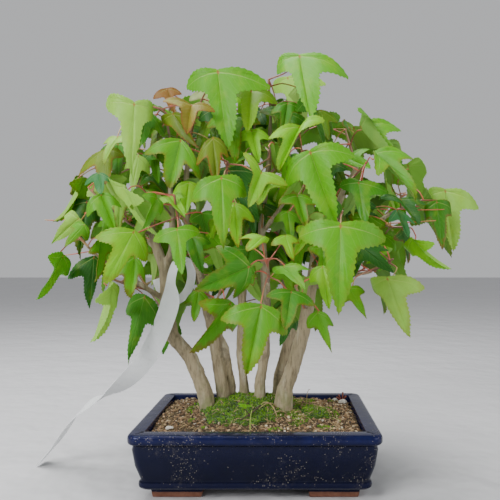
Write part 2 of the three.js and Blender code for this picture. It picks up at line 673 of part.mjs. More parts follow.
// A petiole from its twig to the underside of its blade's hub, or null where it would have to
// double back on itself to get there.
function petioleSolid(start, { square, midrib, foot }, bow) {
  const near = foot.clone().addScaledVector(square, -3.2).addScaledVector(midrib, -1.8);
  const middle = start.clone().lerp(near, 0.5).add(bow);
  const route = [start, middle, near, foot];
  const spans = route.slice(1).map((at, i) => at.clone().sub(route[i]).normalize());
  if (spans[0].dot(spans[1]) < 0.1 || spans[1].dot(spans[2]) < 0.1) return null;
  const radii = [1, 0.9, 1, 0.9].map((share) => share * petioleRadius);
  return stem(route, radii, { sides: 3 });
}

// ---- Label: a plastic band tied round the left trunk, its free end down on the table ----
// Each station: place across, up and deep, the direction of the band's width, and its width.
const labelRoute = [
  [[-181.2, 8, 16.7], [0.3, 0.85, 0.42], labelWidth],
  [[-168.6, 22.6, 12], [0.28, 0.9, 0.32], labelWidth],
  [[-159.5, 36.1, 8], [0.1, 0.98, 0.05], labelWidth],
  [[-151.5, 46.9, 4], [0.05, 0.97, 0.2], labelWidth],
  [[-139.7, 56.8, -2], [0.1, 0.85, 0.5], labelWidth],
  [[-127, 62.2, -8], [0.25, 0.95, -0.05], labelWidth],
  [[-113.6, 72.1, -15], [0.62, 0.62, -0.48], labelWidth],
  [[-97.3, 88.4, -22], [0.83, 0.25, -0.5], labelWidth],
  [[-86.5, 106.4, -25], [0.9, 0.08, -0.42], labelWidth],
  [[-78.5, 125, -26], [0.94, 0, -0.34], labelWidth],
  [[-73, 143, -25], [0.95, 0, -0.31], labelWidth],
  [[-73.5, 156, -23], [1, 0, 0], labelTongueWidth],
  [[-71, 168, -21], [1, 0, 0.1], labelTongueWidth],
  [[-67, 177, -15], [0.9, -0.3, 0.3], labelTongueWidth],
  [[-60, 177, -7], [0.85, -0.5, 0], labelTongueWidth],
  [[-56, 167, -6], [1, 0, 0], labelTongueWidth],
  [[-57, 155, -3], [1, 0, -0.2], labelTongueWidth],
  [[-63, 145, 0.4], [0.7, 0, -0.7], labelTongueWidth],
  [[-72, 141, 0.8], [0, 0, -1], labelTongueWidth],
  [[-81, 149, -0.1], [-0.7, 0, -0.7], labelTongueWidth],
  [[-85, 160, 1], [-1, 0, 0], labelTongueWidth],
];

function makeLabel() {
  const route = new THREE.CatmullRomCurve3(labelRoute.map(([at]) => place(at)));
  const sides = new THREE.CatmullRomCurve3(labelRoute.map(([, s]) => new THREE.Vector3(...s)));
  const widths = labelRoute.map(([, , width]) => width);
  const steps = 2 * (labelRoute.length - 1);
  const geometry = new THREE.BoxGeometry(1, labelThickness, 1, steps, 1, 1);
  reshape(geometry, (v) => {
    const t = THREE.MathUtils.clamp(v.x + 0.5, 0, 1);
    const ahead = route.getTangent(t);
    const side = sides.getPoint(t);
    side.addScaledVector(ahead, -side.dot(ahead)).normalize();
    const normal = new THREE.Vector3().crossVectors(side, ahead);
    const station = t * (widths.length - 1);
    const i = Math.min(Math.floor(station), widths.length - 2);
    const width = lerp(widths[i], widths[i + 1], station - i);
    const offset = v.y;
    const across = v.z * width;
    v.copy(route.getPoint(t)).addScaledVector(normal, offset).addScaledVector(side, across);
  });
  return toSolid(geometry);
}

// ---- Putting the tree together ----
const build = (points, radii, options) => stem(points.map(place), radii, options);

function makeTrunk(stems, grow = 0) {
  return stems
    .map(({ points, radii }, i) =>
      build(points, radii, { sides: i === 0 ? 8 : 6, grow }),
    )
    .reduce((a, b) => a.add(b));
}

// A speck at a point, for measuring how near a solid comes to it.
const dot = (at) => toSolid(new THREE.TetrahedronGeometry(0.05).translate(at.x, at.y, at.z));

const box = (solid) => solid.boundingBox();
const apart = (a, b, gap) =>
  [0, 1, 2].some((i) => a.min[i] - gap > b.max[i] || b.min[i] - gap > a.max[i]);

// Everything that a new leaf must stay clear of.
const standing = [];
const stand = (solid, shoot, kind) => standing.push({ solid, box: box(solid), shoot, kind });
const clear = (solid, passes = () => false) => {
  const own = box(solid);
  return standing.every(
    (other) =>
      passes(other) ||
      apart(own, other.box, leafClearance) ||
      other.solid.minGap(solid, leafClearance) >= leafClearance,
  );
};

const groundLifted = soilBlock(touchGap);
const trunkSolids = {};
const trunkCutters = [];
for (const [name, stems] of Object.entries(trunks)) {
  trunkSolids[name] = makeTrunk(stems);
  trunkCutters.push(makeTrunk(stems, touchGap));
  stand(trunkSolids[name], name, "trunk");
}
const labelSolid = makeLabel();
stand(labelSolid, "label_strip", "label");

const jointsPerTwig = 15; // places along a twig, each of which carries one petiole at most
const shoots = {};
for (const [name, points] of Object.entries(twigs)) {
  const radii = points.map((_, i) => lerp(twigRadius, twigRadius * 0.7, i / (points.length - 1)));
  let twig = build(points, radii, { sides: 4 });
  for (const cutter of trunkCutters) twig = twig.subtract(cutter);
  twig = largest(twig);
  const curve = new THREE.CatmullRomCurve3(points.map(place));
  const joints = curve.getSpacedPoints(jointsPerTwig).filter((at) => twig.minGap(dot(at), 1) === 0);
  shoots[name] = { twig, joints, pieces: [twig] };
  stand(twig, name, "twig");
}

// Shifts in depth that a leaf tries, nearest first, until nothing touches it.
const shifts = Array.from({ length: 33 }, (_, i) => (i % 2 ? -1 : 1) * Math.ceil(i / 2) * 2.5);
const bows = [
  [0, 0, 3],
  [0, 0, -3],
  [6, 0, 2],
  [-6, 0, 2],
  [0, 7, 0],
  [0, -7, 0],
  [0, 0, 10],
  [10, 6, 4],
  [-10, 6, 4],
  [10, -6, 4],
  [-10, -6, 4],
].map((v) => new THREE.Vector3(...v));

const shortestPetiole = 8;
const searches = [12, 60]; // how many of the nearest joints a leaf tries, then tries again

// A petiole from a joint to a blade, or null where it meets anything on its way.
function freePetiole(name, joint, blade) {
  for (const bow of bows) {
    const petiole = petioleSolid(joint, blade, bow);
    const passes = (other) => other.shoot === name && other.kind === "twig";
    if (!petiole || !clear(petiole, passes)) continue;
    // It neither comes out through its own blade nor misses it.
    if (petiole.subtract(blade.solid).decompose().length > 1) continue;
    if (petiole.add(blade.solid).decompose().length > 1) continue;
    // It meets its own twig.
    if (petiole.add(shoots[name].twig).decompose().length > 1) continue;
    return petiole;
  }
  return null;
}

// Adds a leaf to the nearest shoot that can carry it: shape gives its blade for a depth shift.
function growLeaf(shape) {
  for (const joints of searches)
    for (const shift of shifts) {
      const blade = bladeSolid(shape(shift));
      if (!clear(blade.solid)) continue;
      const heelPoint = blade.foot.clone().addScaledVector(blade.square, -3);
      const starts = Object.entries(shoots)
        .flatMap(([name, shoot]) => shoot.joints.map((joint) => ({ name, joint })))
        .map((start) => ({ ...start, far: start.joint.distanceTo(heelPoint) }))
        .filter((start) => start.far > shortestPetiole)
        .sort((a, b) => a.far - b.far)
        .slice(0, joints);
      for (const { name, joint } of starts) {
        const petiole = freePetiole(name, joint, blade);
        if (!petiole) continue;
        shoots[name].pieces.push(petiole.add(blade.solid));
        shoots[name].joints.splice(shoots[name].joints.indexOf(joint), 1);
        stand(blade.solid, name, "blade");
        stand(petiole, name, "petiole");
        return;
      }
    }
}

frontLeaves.forEach((row) => growLeaf((shift) => frontBlade(row, shift)));
for (let i = 0; i < backLeafCount; i++) growLeaf((shift) => backBlade(i, shift));
for (let i = 0; i < topLeafCount; i++) growLeaf((shift) => topBlade(i, shift));

const soilSolid = makeSoil(trunkCutters);

// ---- The group ----
const part = new THREE.Group();
function addPiece(name, solid, color, roughness, metalness = 0) {
  const material = new THREE.MeshStandardMaterial({ color, roughness, metalness });
  const mesh = new THREE.Mesh(toGeometry(solid), material);
  mesh.name = name;
  part.add(mesh);
}

addPiece("pot", makePot(), 0x10163f, 0.18);
["left", "right"].forEach((side, i) => {
  const x = ((i * 2 - 1) * drainHoleSpacing) / 2;
  addPiece(`drain_mesh_${side}`, makeDrainMesh(x), 0x1d1d1d, 0.6);
  addPiece(`mesh_clip_${side}`, makeClip(x), 0x9a9ca0, 0.35, 1);
});
addPiece("soil", soilSolid, 0x5b4630, 0.95);

const mossPatches = [
  { x: -12, y: -3, halfX: 44, halfY: 38, turn: 0.4 },
  { x: 47, y: -8, halfX: 13, halfY: 15, turn: 2.1 },
  { x: 6, y: 46, halfX: 30, halfY: 9, turn: 3.3 },
];
mossPatches.forEach((patch, i) =>
  addPiece(`moss_${i + 1}`, makeMoss(patch, trunkCutters), 0x4f8a1c, 0.95),
);

const stones = [
  { x: 74, y: 39, size: 3.4, turn: 0.3 },
  { x: 68, y: 51, size: 2.6, turn: 1.9 },
  { x: -66, y: -40, size: 2.8, turn: 4.1 },
];
stones.forEach((stone, i) => addPiece(`stone_${i + 1}`, makeStone(stone), 0xd8d2c4, 0.8));

for (const [name, solid] of Object.entries(trunkSolids)) addPiece(name, solid, 0x6d5a48, 0.85);
addPiece("label_strip", labelSolid, 0xe6e8e8, 0.45);
for (const [name, { pieces }] of Object.entries(shoots))
  addPiece(name, pieces.reduce((a, b) => a.add(b)), 0x3f8f1f, 0.5);

export default part;
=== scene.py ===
"""A clump-style maple bonsai in a glazed pot: its looks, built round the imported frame."""

import logging
import math
import random
from contextlib import contextmanager
from dataclasses import dataclass, field
from enum import Enum
from functools import partial
from typing import Callable, Iterator, Optional, Sequence, Union

import bmesh
import bpy
import numpy as np
from mathutils import Matrix, Vector, noise
from mathutils.bvhtree import BVHTree


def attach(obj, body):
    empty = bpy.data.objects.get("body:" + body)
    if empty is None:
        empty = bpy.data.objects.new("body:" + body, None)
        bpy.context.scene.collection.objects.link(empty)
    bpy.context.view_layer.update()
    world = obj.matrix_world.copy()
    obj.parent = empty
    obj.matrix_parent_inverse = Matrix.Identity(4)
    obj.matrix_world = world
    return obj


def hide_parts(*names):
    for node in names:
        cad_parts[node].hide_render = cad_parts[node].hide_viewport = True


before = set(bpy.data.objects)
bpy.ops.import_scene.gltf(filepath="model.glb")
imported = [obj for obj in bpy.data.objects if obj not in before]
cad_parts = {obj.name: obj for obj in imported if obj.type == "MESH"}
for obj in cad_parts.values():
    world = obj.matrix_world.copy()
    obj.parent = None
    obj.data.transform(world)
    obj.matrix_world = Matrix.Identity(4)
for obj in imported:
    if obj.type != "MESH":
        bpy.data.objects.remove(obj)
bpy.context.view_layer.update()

logging.basicConfig(level=logging.INFO, format="%(message)s")
LOG = logging.getLogger("bonsai")

MM = 0.001
BODY = "root"
MERGE = 0.000001
VIEWER = Vector((21, -469, 172)) * MM
COLOUR = tuple[float, float, float]
Value = Union[float, bpy.types.NodeSocket]


# ---------------------------------------------------------------- working by hand


def leave_edit_mode() -> None:
    """Goes back to object mode if an object is being edited."""
    if bpy.context.mode != "OBJECT":
        bpy.ops.object.mode_set(mode="OBJECT")


def pick(piece: bpy.types.Object) -> None:
    """Selects one piece alone and makes it the active one.

    Args:
        piece: The object that the next operators act on.
    """
    leave_edit_mode()
    bpy.ops.object.select_all(action="DESELECT")
    piece.select_set(True)
    bpy.context.view_layer.objects.active = piece


@contextmanager
def editing(piece: bpy.types.Object) -> Iterator[bmesh.types.BMesh]:
    """Opens a piece in edit mode with nothing selected.

    Args:
        piece: The object to edit.

    Returns:
        The edit mesh, in which faces and edges are selected in code.
    """
    pick(piece)
    bpy.ops.object.mode_set(mode="EDIT")
    bpy.ops.mesh.select_all(action="DESELECT")
    mesh = bmesh.from_edit_mesh(piece.data)
    yield mesh
    leave_edit_mode()


def select_where(piece: bpy.types.Object, kind: str, wanted: Callable[..., bool]) -> None:
    """Selects the edited piece's faces or edges that pass a test, and nothing else.

    Args:
        piece: The piece that is in edit mode.
        kind: What is selected, FACE or EDGE.
        wanted: Says whether a face or an edge is wanted.
    """
    bpy.ops.mesh.select_mode(type=kind)
    bpy.ops.mesh.select_all(action="DESELECT")
    mesh = bmesh.from_edit_mesh(piece.data)
    for element in mesh.faces if kind == "FACE" else mesh.edges:
        if wanted(element):
            element.select_set(True)
    mesh.select_flush_mode()
    bmesh.update_edit_mesh(piece.data)


def finish_with(piece: bpy.types.Object, kind: str, **settings: object) -> None:
    """Adds a modifier to a piece and applies it.

    Args:
        piece: The object to change.
        kind: The modifier's type.
        **settings: The modifier's own values.
    """
    pick(piece)
    modifier = piece.modifiers.new(kind.title(), kind)
    for name, value in settings.items():
        setattr(modifier, name, value)
    bpy.ops.object.modifier_apply(modifier=modifier.name)


def round_edges(piece: bpy.types.Object, width: float, angle: float) -> None:
    """Rounds the piece's edges that are sharper than an angle.

    Args:
        piece: The object to change.
        width: The rounding's width, in metres.
        angle: The angle, in degrees.
    """
    limit = {"limit_method": "ANGLE", "angle_limit": math.radians(angle)}
    finish_with(piece, "BEVEL", width=width, segments=3, **limit)


def smooth(piece: bpy.types.Object, angle: float = 40) -> None:
    """Shades a piece smooth, apart from edges sharper than an angle in degrees."""
    pick(piece)
    bpy.ops.object.shade_smooth_by_angle(angle=math.radians(angle))


def carried_copy(node: str, name: str) -> bpy.types.Object:
    """Copies a frame node into a piece of its own, with its loose triangles merged.

    Args:
        node: The frame node's name.
        name: The new piece's name.

    Returns:
        The new piece.
    """
    piece = bpy.data.objects.new(name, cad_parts[node].data.copy())
    bpy.context.scene.collection.objects.link(piece)
    piece.data.materials.clear()
    with editing(piece):
        bpy.ops.mesh.select_all(action="SELECT")
        bpy.ops.mesh.remove_doubles(threshold=MERGE)
    return piece


def new_piece(name: str, points: np.ndarray, faces: Sequence[Sequence[int]]) -> bpy.types.Object:
    """Makes a piece from points in metres and faces.

    Args:
        name: The piece's name.
        points: One row for each vertex.
        faces: The vertex numbers of each face.

    Returns:
        The new piece.
    """
    mesh = bpy.data.meshes.new(name)
    mesh.from_pydata(points.tolist(), [], faces)
    piece = bpy.data.objects.new(name, mesh)
    bpy.context.scene.collection.objects.link(piece)
    return piece


def points_of(piece: bpy.types.Object) -> np.ndarray:
    """The piece's vertices, one row each, in metres."""
    flat = np.empty(len(piece.data.vertices) * 3)
    piece.data.vertices.foreach_get("co", flat)
    return flat.reshape(-1, 3)


def normals_of(piece: bpy.types.Object) -> np.ndarray:
    """The piece's vertex normals, one row each."""
    flat = np.empty(len(piece.data.vertices) * 3)
    piece.data.vertices.foreach_get("normal", flat)
    return flat.reshape(-1, 3)


def put_points(piece: bpy.types.Object, points: np.ndarray) -> None:
    """Moves the piece's vertices to new places, in metres."""
    piece.data.vertices.foreach_set("co", points.ravel())
    piece.data.update()


def roughen(piece: bpy.types.Object, height: float, size: float, seed: float = 0) -> None:
    """Pushes a piece's surface in and out along its normals by soft noise.

    Args:
        piece: The piece to roughen.
        height: The most that a vertex moves, in metres.
        size: The bumps' size, in metres.
        seed: Shifts the noise, so that pieces differ.
    """
    points, normals = points_of(piece), normals_of(piece)
    shift = Vector((seed * 7.3, seed * 3.1, seed * 1.7))
    push = [noise.fractal(Vector(p) / size + shift, 0.6, 2.1, 3) for p in points]
    put_points(piece, points + normals * (np.clip(push, -1, 1) * height)[:, None])


def paint(piece: bpy.types.Object, name: str, values: np.ndarray) -> None:
    """Stores a value or a colour for each vertex, for the finish to read.

    Args:
        piece: The piece to paint.
        name: The attribute's name.
        values: One number or one RGB row for each vertex.
    """
    if values.ndim == 1:
        layer = piece.data.attributes.new(name, "FLOAT", "POINT")
        layer.data.foreach_set("value", values.astype(np.float32))
        return
    layer = piece.data.color_attributes.new(name, "FLOAT_COLOR", "POINT")
    rgba = np.ones((len(values), 4), np.float32)
    rgba[:, :3] = values
    layer.data.foreach_set("color", rgba.ravel())


def hand_over(
    piece: bpy.types.Object,
    finish: bpy.types.Material,
    nodes: Sequence[str] = (),
) -> None:
    """Gives a piece its finish and ties it to the frame.

    Args:
        piece: The finished piece.
        finish: Its material.
        nodes: The frame nodes that it stands for.
    """
    piece.data.materials.clear()
    piece.data.materials.append(finish)
    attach(piece, BODY)
    if nodes:
        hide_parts(*nodes)
    LOG.info("%s: %d faces", piece.name, len(piece.data.polygons))


# ---------------------------------------------------------------- material nodes


class Shading:
    """Builds one node tree, a node at a time, with the links made as it goes."""

    def __init__(self, tree: bpy.types.NodeTree) -> None:
        """Starts on a tree.

        Args:
            tree: The material's or the group's node tree.
        """
        self.tree = tree

    def node(self, kind: str, inputs: Optional[dict] = None, **props: object) -> bpy.types.Node:
        """Adds a node.

        Args:
            kind: The node's type.
            inputs: A value or a socket for each input, by name or number.
            **props: The node's own settings.

        Returns:
            The new node.
        """
        made = self.tree.nodes.new(kind)
        for name, value in props.items():
            setattr(made, name, value)
        for name, value in (inputs or {}).items():
            self.feed(made.inputs[name], value)
        return made

    def feed(self, socket: bpy.types.NodeSocket, value: object) -> None:
        """Links a socket to another, or sets its own value."""
        if isinstance(value, bpy.types.NodeSocket):
            self.tree.links.new(value, socket)
        elif isinstance(value, tuple) and len(value) == 3 and socket.type == "RGBA":
            socket.default_value = (*value, 1)
        else:
            socket.default_value = value

    def math(self, operation: str, *values: Value, clamp: bool = False) -> bpy.types.NodeSocket:
        """Adds a Math node on one to three values and returns its result."""
        made = self.node("ShaderNodeMath", dict(enumerate(values)), operation=operation)
        made.use_clamp = clamp
        return made.outputs[0]

    def place(self) -> bpy.types.NodeSocket:
        """The point's place on the object, in metres."""
        return self.node("ShaderNodeTexCoord").outputs["Object"]

    def along(self, place: bpy.types.NodeSocket, axis: str) -> bpy.types.NodeSocket:
        """One coordinate, X, Y or Z, of a place."""
        return self.node("ShaderNodeSeparateXYZ", {0: place}).outputs[axis]

    def noise(
        self, place: Value, size: float, detail: float = 3, rough: float = 0.55
    ) -> bpy.types.NodeSocket:
        """Soft noise from 0 to 1 whose patches are about a size in metres."""
        inputs = {"Vector": place, "Scale": 1 / size, "Detail": detail, "Roughness": rough}
        return self.node("ShaderNodeTexNoise", inputs).outputs[0]

    def cells(self, place: Value, size: float, feature: str = "F1") -> bpy.types.Node:
        """A Voronoi node whose cells are about a size in metres."""
        return self.node("ShaderNodeTexVoronoi", {"Vector": place, "Scale": 1 / size}, feature=feature)

    def ramp(self, value: Value, low: float, high: float) -> bpy.types.NodeSocket:
        """Maps a value smoothly from 0 at low to 1 at high."""
        inputs = {"Value": value, "From Min": low, "From Max": high}
        return self.node("ShaderNodeMapRange", inputs, interpolation_type="SMOOTHSTEP").outputs[0]

    def blend(self, share: Value, a: object, b: object, mode: str = "MIX") -> bpy.types.NodeSocket:
        """Blends two colours by a share from 0 to 1 and returns the result."""
        made = self.node("ShaderNodeMix", data_type="RGBA", blend_type=mode)
        self.feed(made.inputs[0], share)
        self.feed(made.inputs[6], a)
        self.feed(made.inputs[7], b)
        return made.outputs[2]

    def bump(self, height: Value, strength: float, depth: float) -> bpy.types.NodeSocket:
        """A normal from a height, whose full step is a depth in metres."""
        inputs = {"Height": height, "Strength": strength, "Distance": depth}
        return self.node("ShaderNodeBump", inputs).outputs[0]

    def attribute(self, name: str, output: str = "Fac") -> bpy.types.NodeSocket:
        """A value or a colour that was painted on the piece's vertices."""
        return self.node("ShaderNodeAttribute", attribute_name=name).outputs[output]


def mottle_group() -> bpy.types.NodeTree:
    """The uneven tone that every natural surface here has: two noises, one in the other.

    Returns:
        A node group with Vector, Size and Contrast inputs, and a Tone output.
    """
    found = bpy.data.node_groups.get("mottle")
    if found:
        return found
    tree = bpy.data.node_groups.new("mottle", "ShaderNodeTree")
    tree.interface.new_socket("Vector", in_out="INPUT", socket_type="NodeSocketVector")
    tree.interface.new_socket("Scale", in_out="INPUT", socket_type="NodeSocketFloat")
    tree.interface.new_socket("Contrast", in_out="INPUT", socket_type="NodeSocketFloat")
    tree.interface.new_socket("Tone", in_out="OUTPUT", socket_type="NodeSocketFloat")
    g = Shading(tree)
    given = g.node("NodeGroupInput").outputs
    coarse = g.node(
        "ShaderNodeTexNoise", {"Vector": given["Vector"], "Scale": given["Scale"], "Detail": 2.0}
    ).outputs[0]
    fine_scale = g.math("MULTIPLY", given["Scale"], 4.3)
    fine = g.node(
        "ShaderNodeTexNoise", {"Vector": given["Vector"], "Scale": fine_scale, "Detail": 4.0}
    ).outputs[0]
    both = g.math("ADD", g.math("MULTIPLY", coarse, 0.65), g.math("MULTIPLY", fine, 0.35))
    spread = g.math("MULTIPLY", g.math("SUBTRACT", both, 0.5), given["Contrast"])
    tone = g.math("ADD", spread, 0.5, clamp=True)
    out = g.node("NodeGroupOutput")
    tree.links.new(tone, out.inputs["Tone"])
    return tree


def mottled(g: Shading, place: Value, size: float, contrast: float) -> bpy.types.NodeSocket:
    """The mottle group's tone in a material, with patches of a size in metres."""
    made = g.node("ShaderNodeGroup", node_tree=mottle_group())
    g.feed(made.inputs["Vector"], place)
    g.feed(made.inputs["Scale"], 1 / size)
    g.feed(made.inputs["Contrast"], contrast)
    return made.outputs["Tone"]


class Finish:
    """A finish: a named material, built once."""

    name = "finish"

    def build(self, g: Shading, shader: bpy.types.Node) -> None:
        """Builds the finish's nodes.

        Args:
            g: The material's tree.
            shader: Its Principled BSDF.
        """
        raise NotImplementedError

    def material(self) -> bpy.types.Material:
        """The finish's material, made when it is first asked for."""
        found = bpy.data.materials.get(self.name)
        if found:
            return found
        made = bpy.data.materials.new(self.name)
        made.use_nodes = True
        shader = made.node_tree.nodes["Principled BSDF"]
        self.build(Shading(made.node_tree), shader)
        return made


@dataclass(frozen=True)
class CobaltGlaze(Finish):
    """Thick cobalt glaze, near black where it pools and bluer where it breaks over edges; the bluer corners,
    plinth band and rim top also hold a painted highlight of the overhead light.
    """

    name: str = "cobalt_glaze"
    pooled: COLOUR = (0.0006, 0.0006, 0.0022)
    # Bluer glaze: broken glaze, and also the painted highlight on the corners and the plinth.
    broken_and_lit: COLOUR = (0.0022, 0.0030, 0.018)
    # Rim top colour: partly glaze breaking over the lip, partly a painted reflection of the overhead light.
    rim: COLOUR = (0.0065, 0.0095, 0.062)
    clay: COLOUR = (0.13, 0.05, 0.026)
    pale_clay: COLOUR = (0.22, 0.10, 0.06)
    scale_mark: COLOUR = (0.30, 0.27, 0.20)
    rim_foot: float = 43.5 * MM
    glaze_foot: float = 4.4 * MM

    def build(self, g: Shading, shader: bpy.types.Node) -> None:
        """Builds the glaze, its specks and the bare clay under the feet.

        Args:
            g: The material's tree.
            shader: Its Principled BSDF.
        """
        place = g.place()
        height = g.along(place, "Z")
        tone = mottled(g, place, 0.012, 1.8)
        # Edge share: glaze breaking bluer at the corners and along the plinth, and a painted highlight there.
        edge = g.attribute("edge")
        share = g.math("ADD", g.math("MULTIPLY", tone, 0.45), g.math("MULTIPLY", edge, 0.85), clamp=True)
        glaze = g.blend(share, self.pooled, self.broken_and_lit)
        # The rim top is painted bluer: broken glaze and a painted highlight from above.
        rim_glaze_and_highlight = g.ramp(height, self.rim_foot - 0.001, self.rim_foot + 0.003)
        glaze = g.blend(rim_glaze_and_highlight, glaze, g.blend(tone, self.broken_and_lit, self.rim))
        specks = g.cells(place, 0.0012)
        ragged = g.math("MULTIPLY", g.math("SUBTRACT", g.noise(place, 0.0006, 3), 0.5), 0.7)
        near = g.ramp(g.math("ADD", specks.outputs["Distance"], ragged), 0.44, 0.14)
        worn = g.ramp(g.noise(place, 0.034, 3, 0.6), 0.44, 0.66)
        rare = g.math("SUBTRACT", 0.98, g.math("MULTIPLY", worn, 0.3))
        chosen = g.ramp(g.math("SUBTRACT", g.along(specks.outputs["Color"], "X"), rare), 0.0, 0.03)
        speck = g.math("MULTIPLY", g.math("MULTIPLY", near, chosen), 0.5)
        cloud = g.ramp(g.noise(place, 0.0035, 6, 0.75), 0.5, 0.75)
        bloom = g.math("MULTIPLY", cloud, g.math("MULTIPLY", worn, 0.16))
        glaze = g.blend(g.math("MAXIMUM", speck, bloom), glaze, self.scale_mark)
        wavy = g.math("ADD", height, g.math("MULTIPLY", g.noise(place, 0.012, 3), 0.0016))
        bare = g.ramp(wavy, self.glaze_foot + 0.0012, self.glaze_foot + 0.0004)
        clay = g.blend(mottled(g, place, 0.004, 2.2), self.clay, self.pale_clay)
        g.feed(shader.inputs["Base Color"], g.blend(bare, glaze, clay))
        matt = g.math("MAXIMUM", bare, speck)
        rough = g.math("ADD", g.math("MULTIPLY", g.noise(place, 0.02, 4), 0.12), 0.08)
        g.feed(shader.inputs["Roughness"], g.math("ADD", rough, g.math("MULTIPLY", matt, 0.6)))
        shader.inputs["Specular IOR Level"].default_value = 0.27
        shader.inputs["Specular Tint"].default_value = (0.62, 0.66, 1.0, 1)
        ripple = g.math("ADD", g.noise(place, 0.016, 2), g.math("MULTIPLY", g.noise(place, 0.0025, 2), 0.25))
        g.feed(shader.inputs["Normal"], g.bump(ripple, 0.35, 0.0011))


@dataclass(frozen=True)
class GrittySoil(Finish):
    """Baked clay and bark granules."""

    name: str = "gritty_soil"
    dark: COLOUR = (0.055, 0.034, 0.016)
    pale: COLOUR = (0.48, 0.35, 0.17)

    def build(self, g: Shading, shader: bpy.types.Node) -> None:
        """Builds the soil between the loose grains.

        Args:
            g: The material's tree.
            shader: Its Principled BSDF.
        """
        place = g.place()
        cells = g.cells(place, 0.0016)
        share = g.math("MULTIPLY", g.along(cells.outputs["Color"], "X"), mottled(g, place, 0.01, 1.6))
        # Painted shade: the crevices between granules are darkened towards the dark soil tone.
        painted_gap_shade = g.ramp(cells.outputs["Distance"], 0.75, 0.35)
        g.feed(shader.inputs["Base Color"], g.blend(g.math("MULTIPLY", share, painted_gap_shade), self.dark, self.pale))
        shader.inputs["Roughness"].default_value = 0.95
        g.feed(shader.inputs["Normal"], g.bump(cells.outputs["Distance"], 0.9, -0.0008))


@dataclass(frozen=True)
class LooseGrain(Finish):
    """Single grains, each with the tone painted on it."""

    name: str = "loose_grain"

    def build(self, g: Shading, shader: bpy.types.Node) -> None:
        """Builds the grains' finish.

        Args:
            g: The material's tree.
            shader: Its Principled BSDF.
        """
        place = g.place()
        tint = g.attribute("tint", "Color")
        tone = mottled(g, place, 0.0012, 1.6)
        g.feed(shader.inputs["Base Color"], g.blend(tone, g.blend(0.45, tint, (0.0, 0.0, 0.0)), tint))
        shader.inputs["Roughness"].default_value = 0.9
        g.feed(shader.inputs["Normal"], g.bump(g.noise(place, 0.0006, 3), 0.6, 0.0003))


@dataclass(frozen=True)
class SoftMoss(Finish):
    """Low cushion moss, brighter where it stands proud: painted shade darkens its hollows and the tufts'
    feet.
    """

    name: str = "soft_moss"
    # Deep tone: the moss in painted shade, in the hollows and at the tufts' feet.
    deep: COLOUR = (0.010, 0.042, 0.002)
    fresh_and_lit: COLOUR = (0.24, 0.50, 0.008)

    def build(self, g: Shading, shader: bpy.types.Node) -> None:
        """Builds the moss.

        Args:
            g: The material's tree.
            shader: Its Principled BSDF.
        """
        place = g.place()
        # Painted shade: low spots and tuft feet lean to the deep colour, and proud fresh tips lean to the lit
        # one.
        tuft = g.noise(place, 0.0016, 3)
        proud = g.math("ADD", g.ramp(tuft, 0.35, 0.7), g.attribute("fresh_and_lit"))
        share = g.math("MULTIPLY", proud, mottled(g, place, 0.009, 1.6), clamp=True)
        g.feed(shader.inputs["Base Color"], g.blend(share, self.deep, self.fresh_and_lit))
        shader.inputs["Roughness"].default_value = 0.85
        shader.inputs["Sheen Weight"].default_value = 0.3
        g.feed(shader.inputs["Normal"], g.bump(tuft, 0.8, 0.0012))


@dataclass(frozen=True)
class MapleBark(Finish):
    """Grey-brown bark, streaked along the trunk, with paler flakes."""

    name: str = "maple_bark"
    shade: COLOUR = (0.12, 0.09, 0.05)
    bark: COLOUR = (0.36, 0.295, 0.18)
    flake: COLOUR = (0.54, 0.49, 0.36)
    green_film: COLOUR = (0.16, 0.20, 0.06)

    def build(self, g: Shading, shader: bpy.types.Node) -> None:
        """Builds the bark.

        Args:
            g: The material's tree.
            shader: Its Principled BSDF.
        """
        place = g.place()
        drawn = g.node("ShaderNodeMapping", {"Vector": place, "Scale": (1.0, 1.0, 0.22)}).outputs[0]
        streak = g.noise(drawn, 0.0022, 5, 0.65)
        tone = mottled(g, place, 0.014, 1.9)
        base = g.blend(g.ramp(streak, 0.16, 0.62), self.shade, self.bark)
        flake = g.math("MULTIPLY", g.ramp(g.noise(drawn, 0.006, 4), 0.5, 0.68), tone)
        knots = g.ramp(g.noise(place, 0.011, 3), 0.6, 0.72)
        base = g.blend(flake, base, self.flake)
        low = g.ramp(g.along(place, "Z"), 0.085, 0.05)
        foot = g.math("MULTIPLY", low, g.ramp(g.noise(place, 0.008, 3), 0.4, 0.62))
        base = g.blend(g.math("MULTIPLY", foot, 0.6), base, self.green_film)
        g.feed(shader.inputs["Base Color"], g.blend(g.math("MULTIPLY", knots, 0.55), base, self.shade))
        shader.inputs["Roughness"].default_value = 0.85
        g.feed(shader.inputs["Normal"], g.bump(streak, 0.55, 0.0007))


@dataclass(frozen=True)
class RedPetiole(Finish):
    """Green wood and petioles, flushed red."""

    name: str = "red_petiole"
    green: COLOUR = (0.42, 0.30, 0.08)
    red: COLOUR = (0.52, 0.10, 0.055)
    wood: COLOUR = (0.13, 0.085, 0.055)
    pale_wood: COLOUR = (0.26, 0.20, 0.14)

    def build(self, g: Shading, shader: bpy.types.Node) -> None:
        """Builds the petioles' and twigs' finish.

        Args:
            g: The material's tree.
            shader: Its Principled BSDF.
        """
        place = g.place()
        flush = g.ramp(g.noise(place, 0.022, 2), 0.36, 0.54)
        thin = g.blend(flush, self.green, self.red)
        wood = g.blend(mottled(g, place, 0.004, 2.2), self.wood, self.pale_wood)
        g.feed(shader.inputs["Base Color"], g.blend(g.attribute("woody"), thin, wood))
        shader.inputs["Roughness"].default_value = 0.42
        g.feed(shader.inputs["Normal"], g.bump(g.noise(place, 0.0012, 3), 0.3, 0.0003))


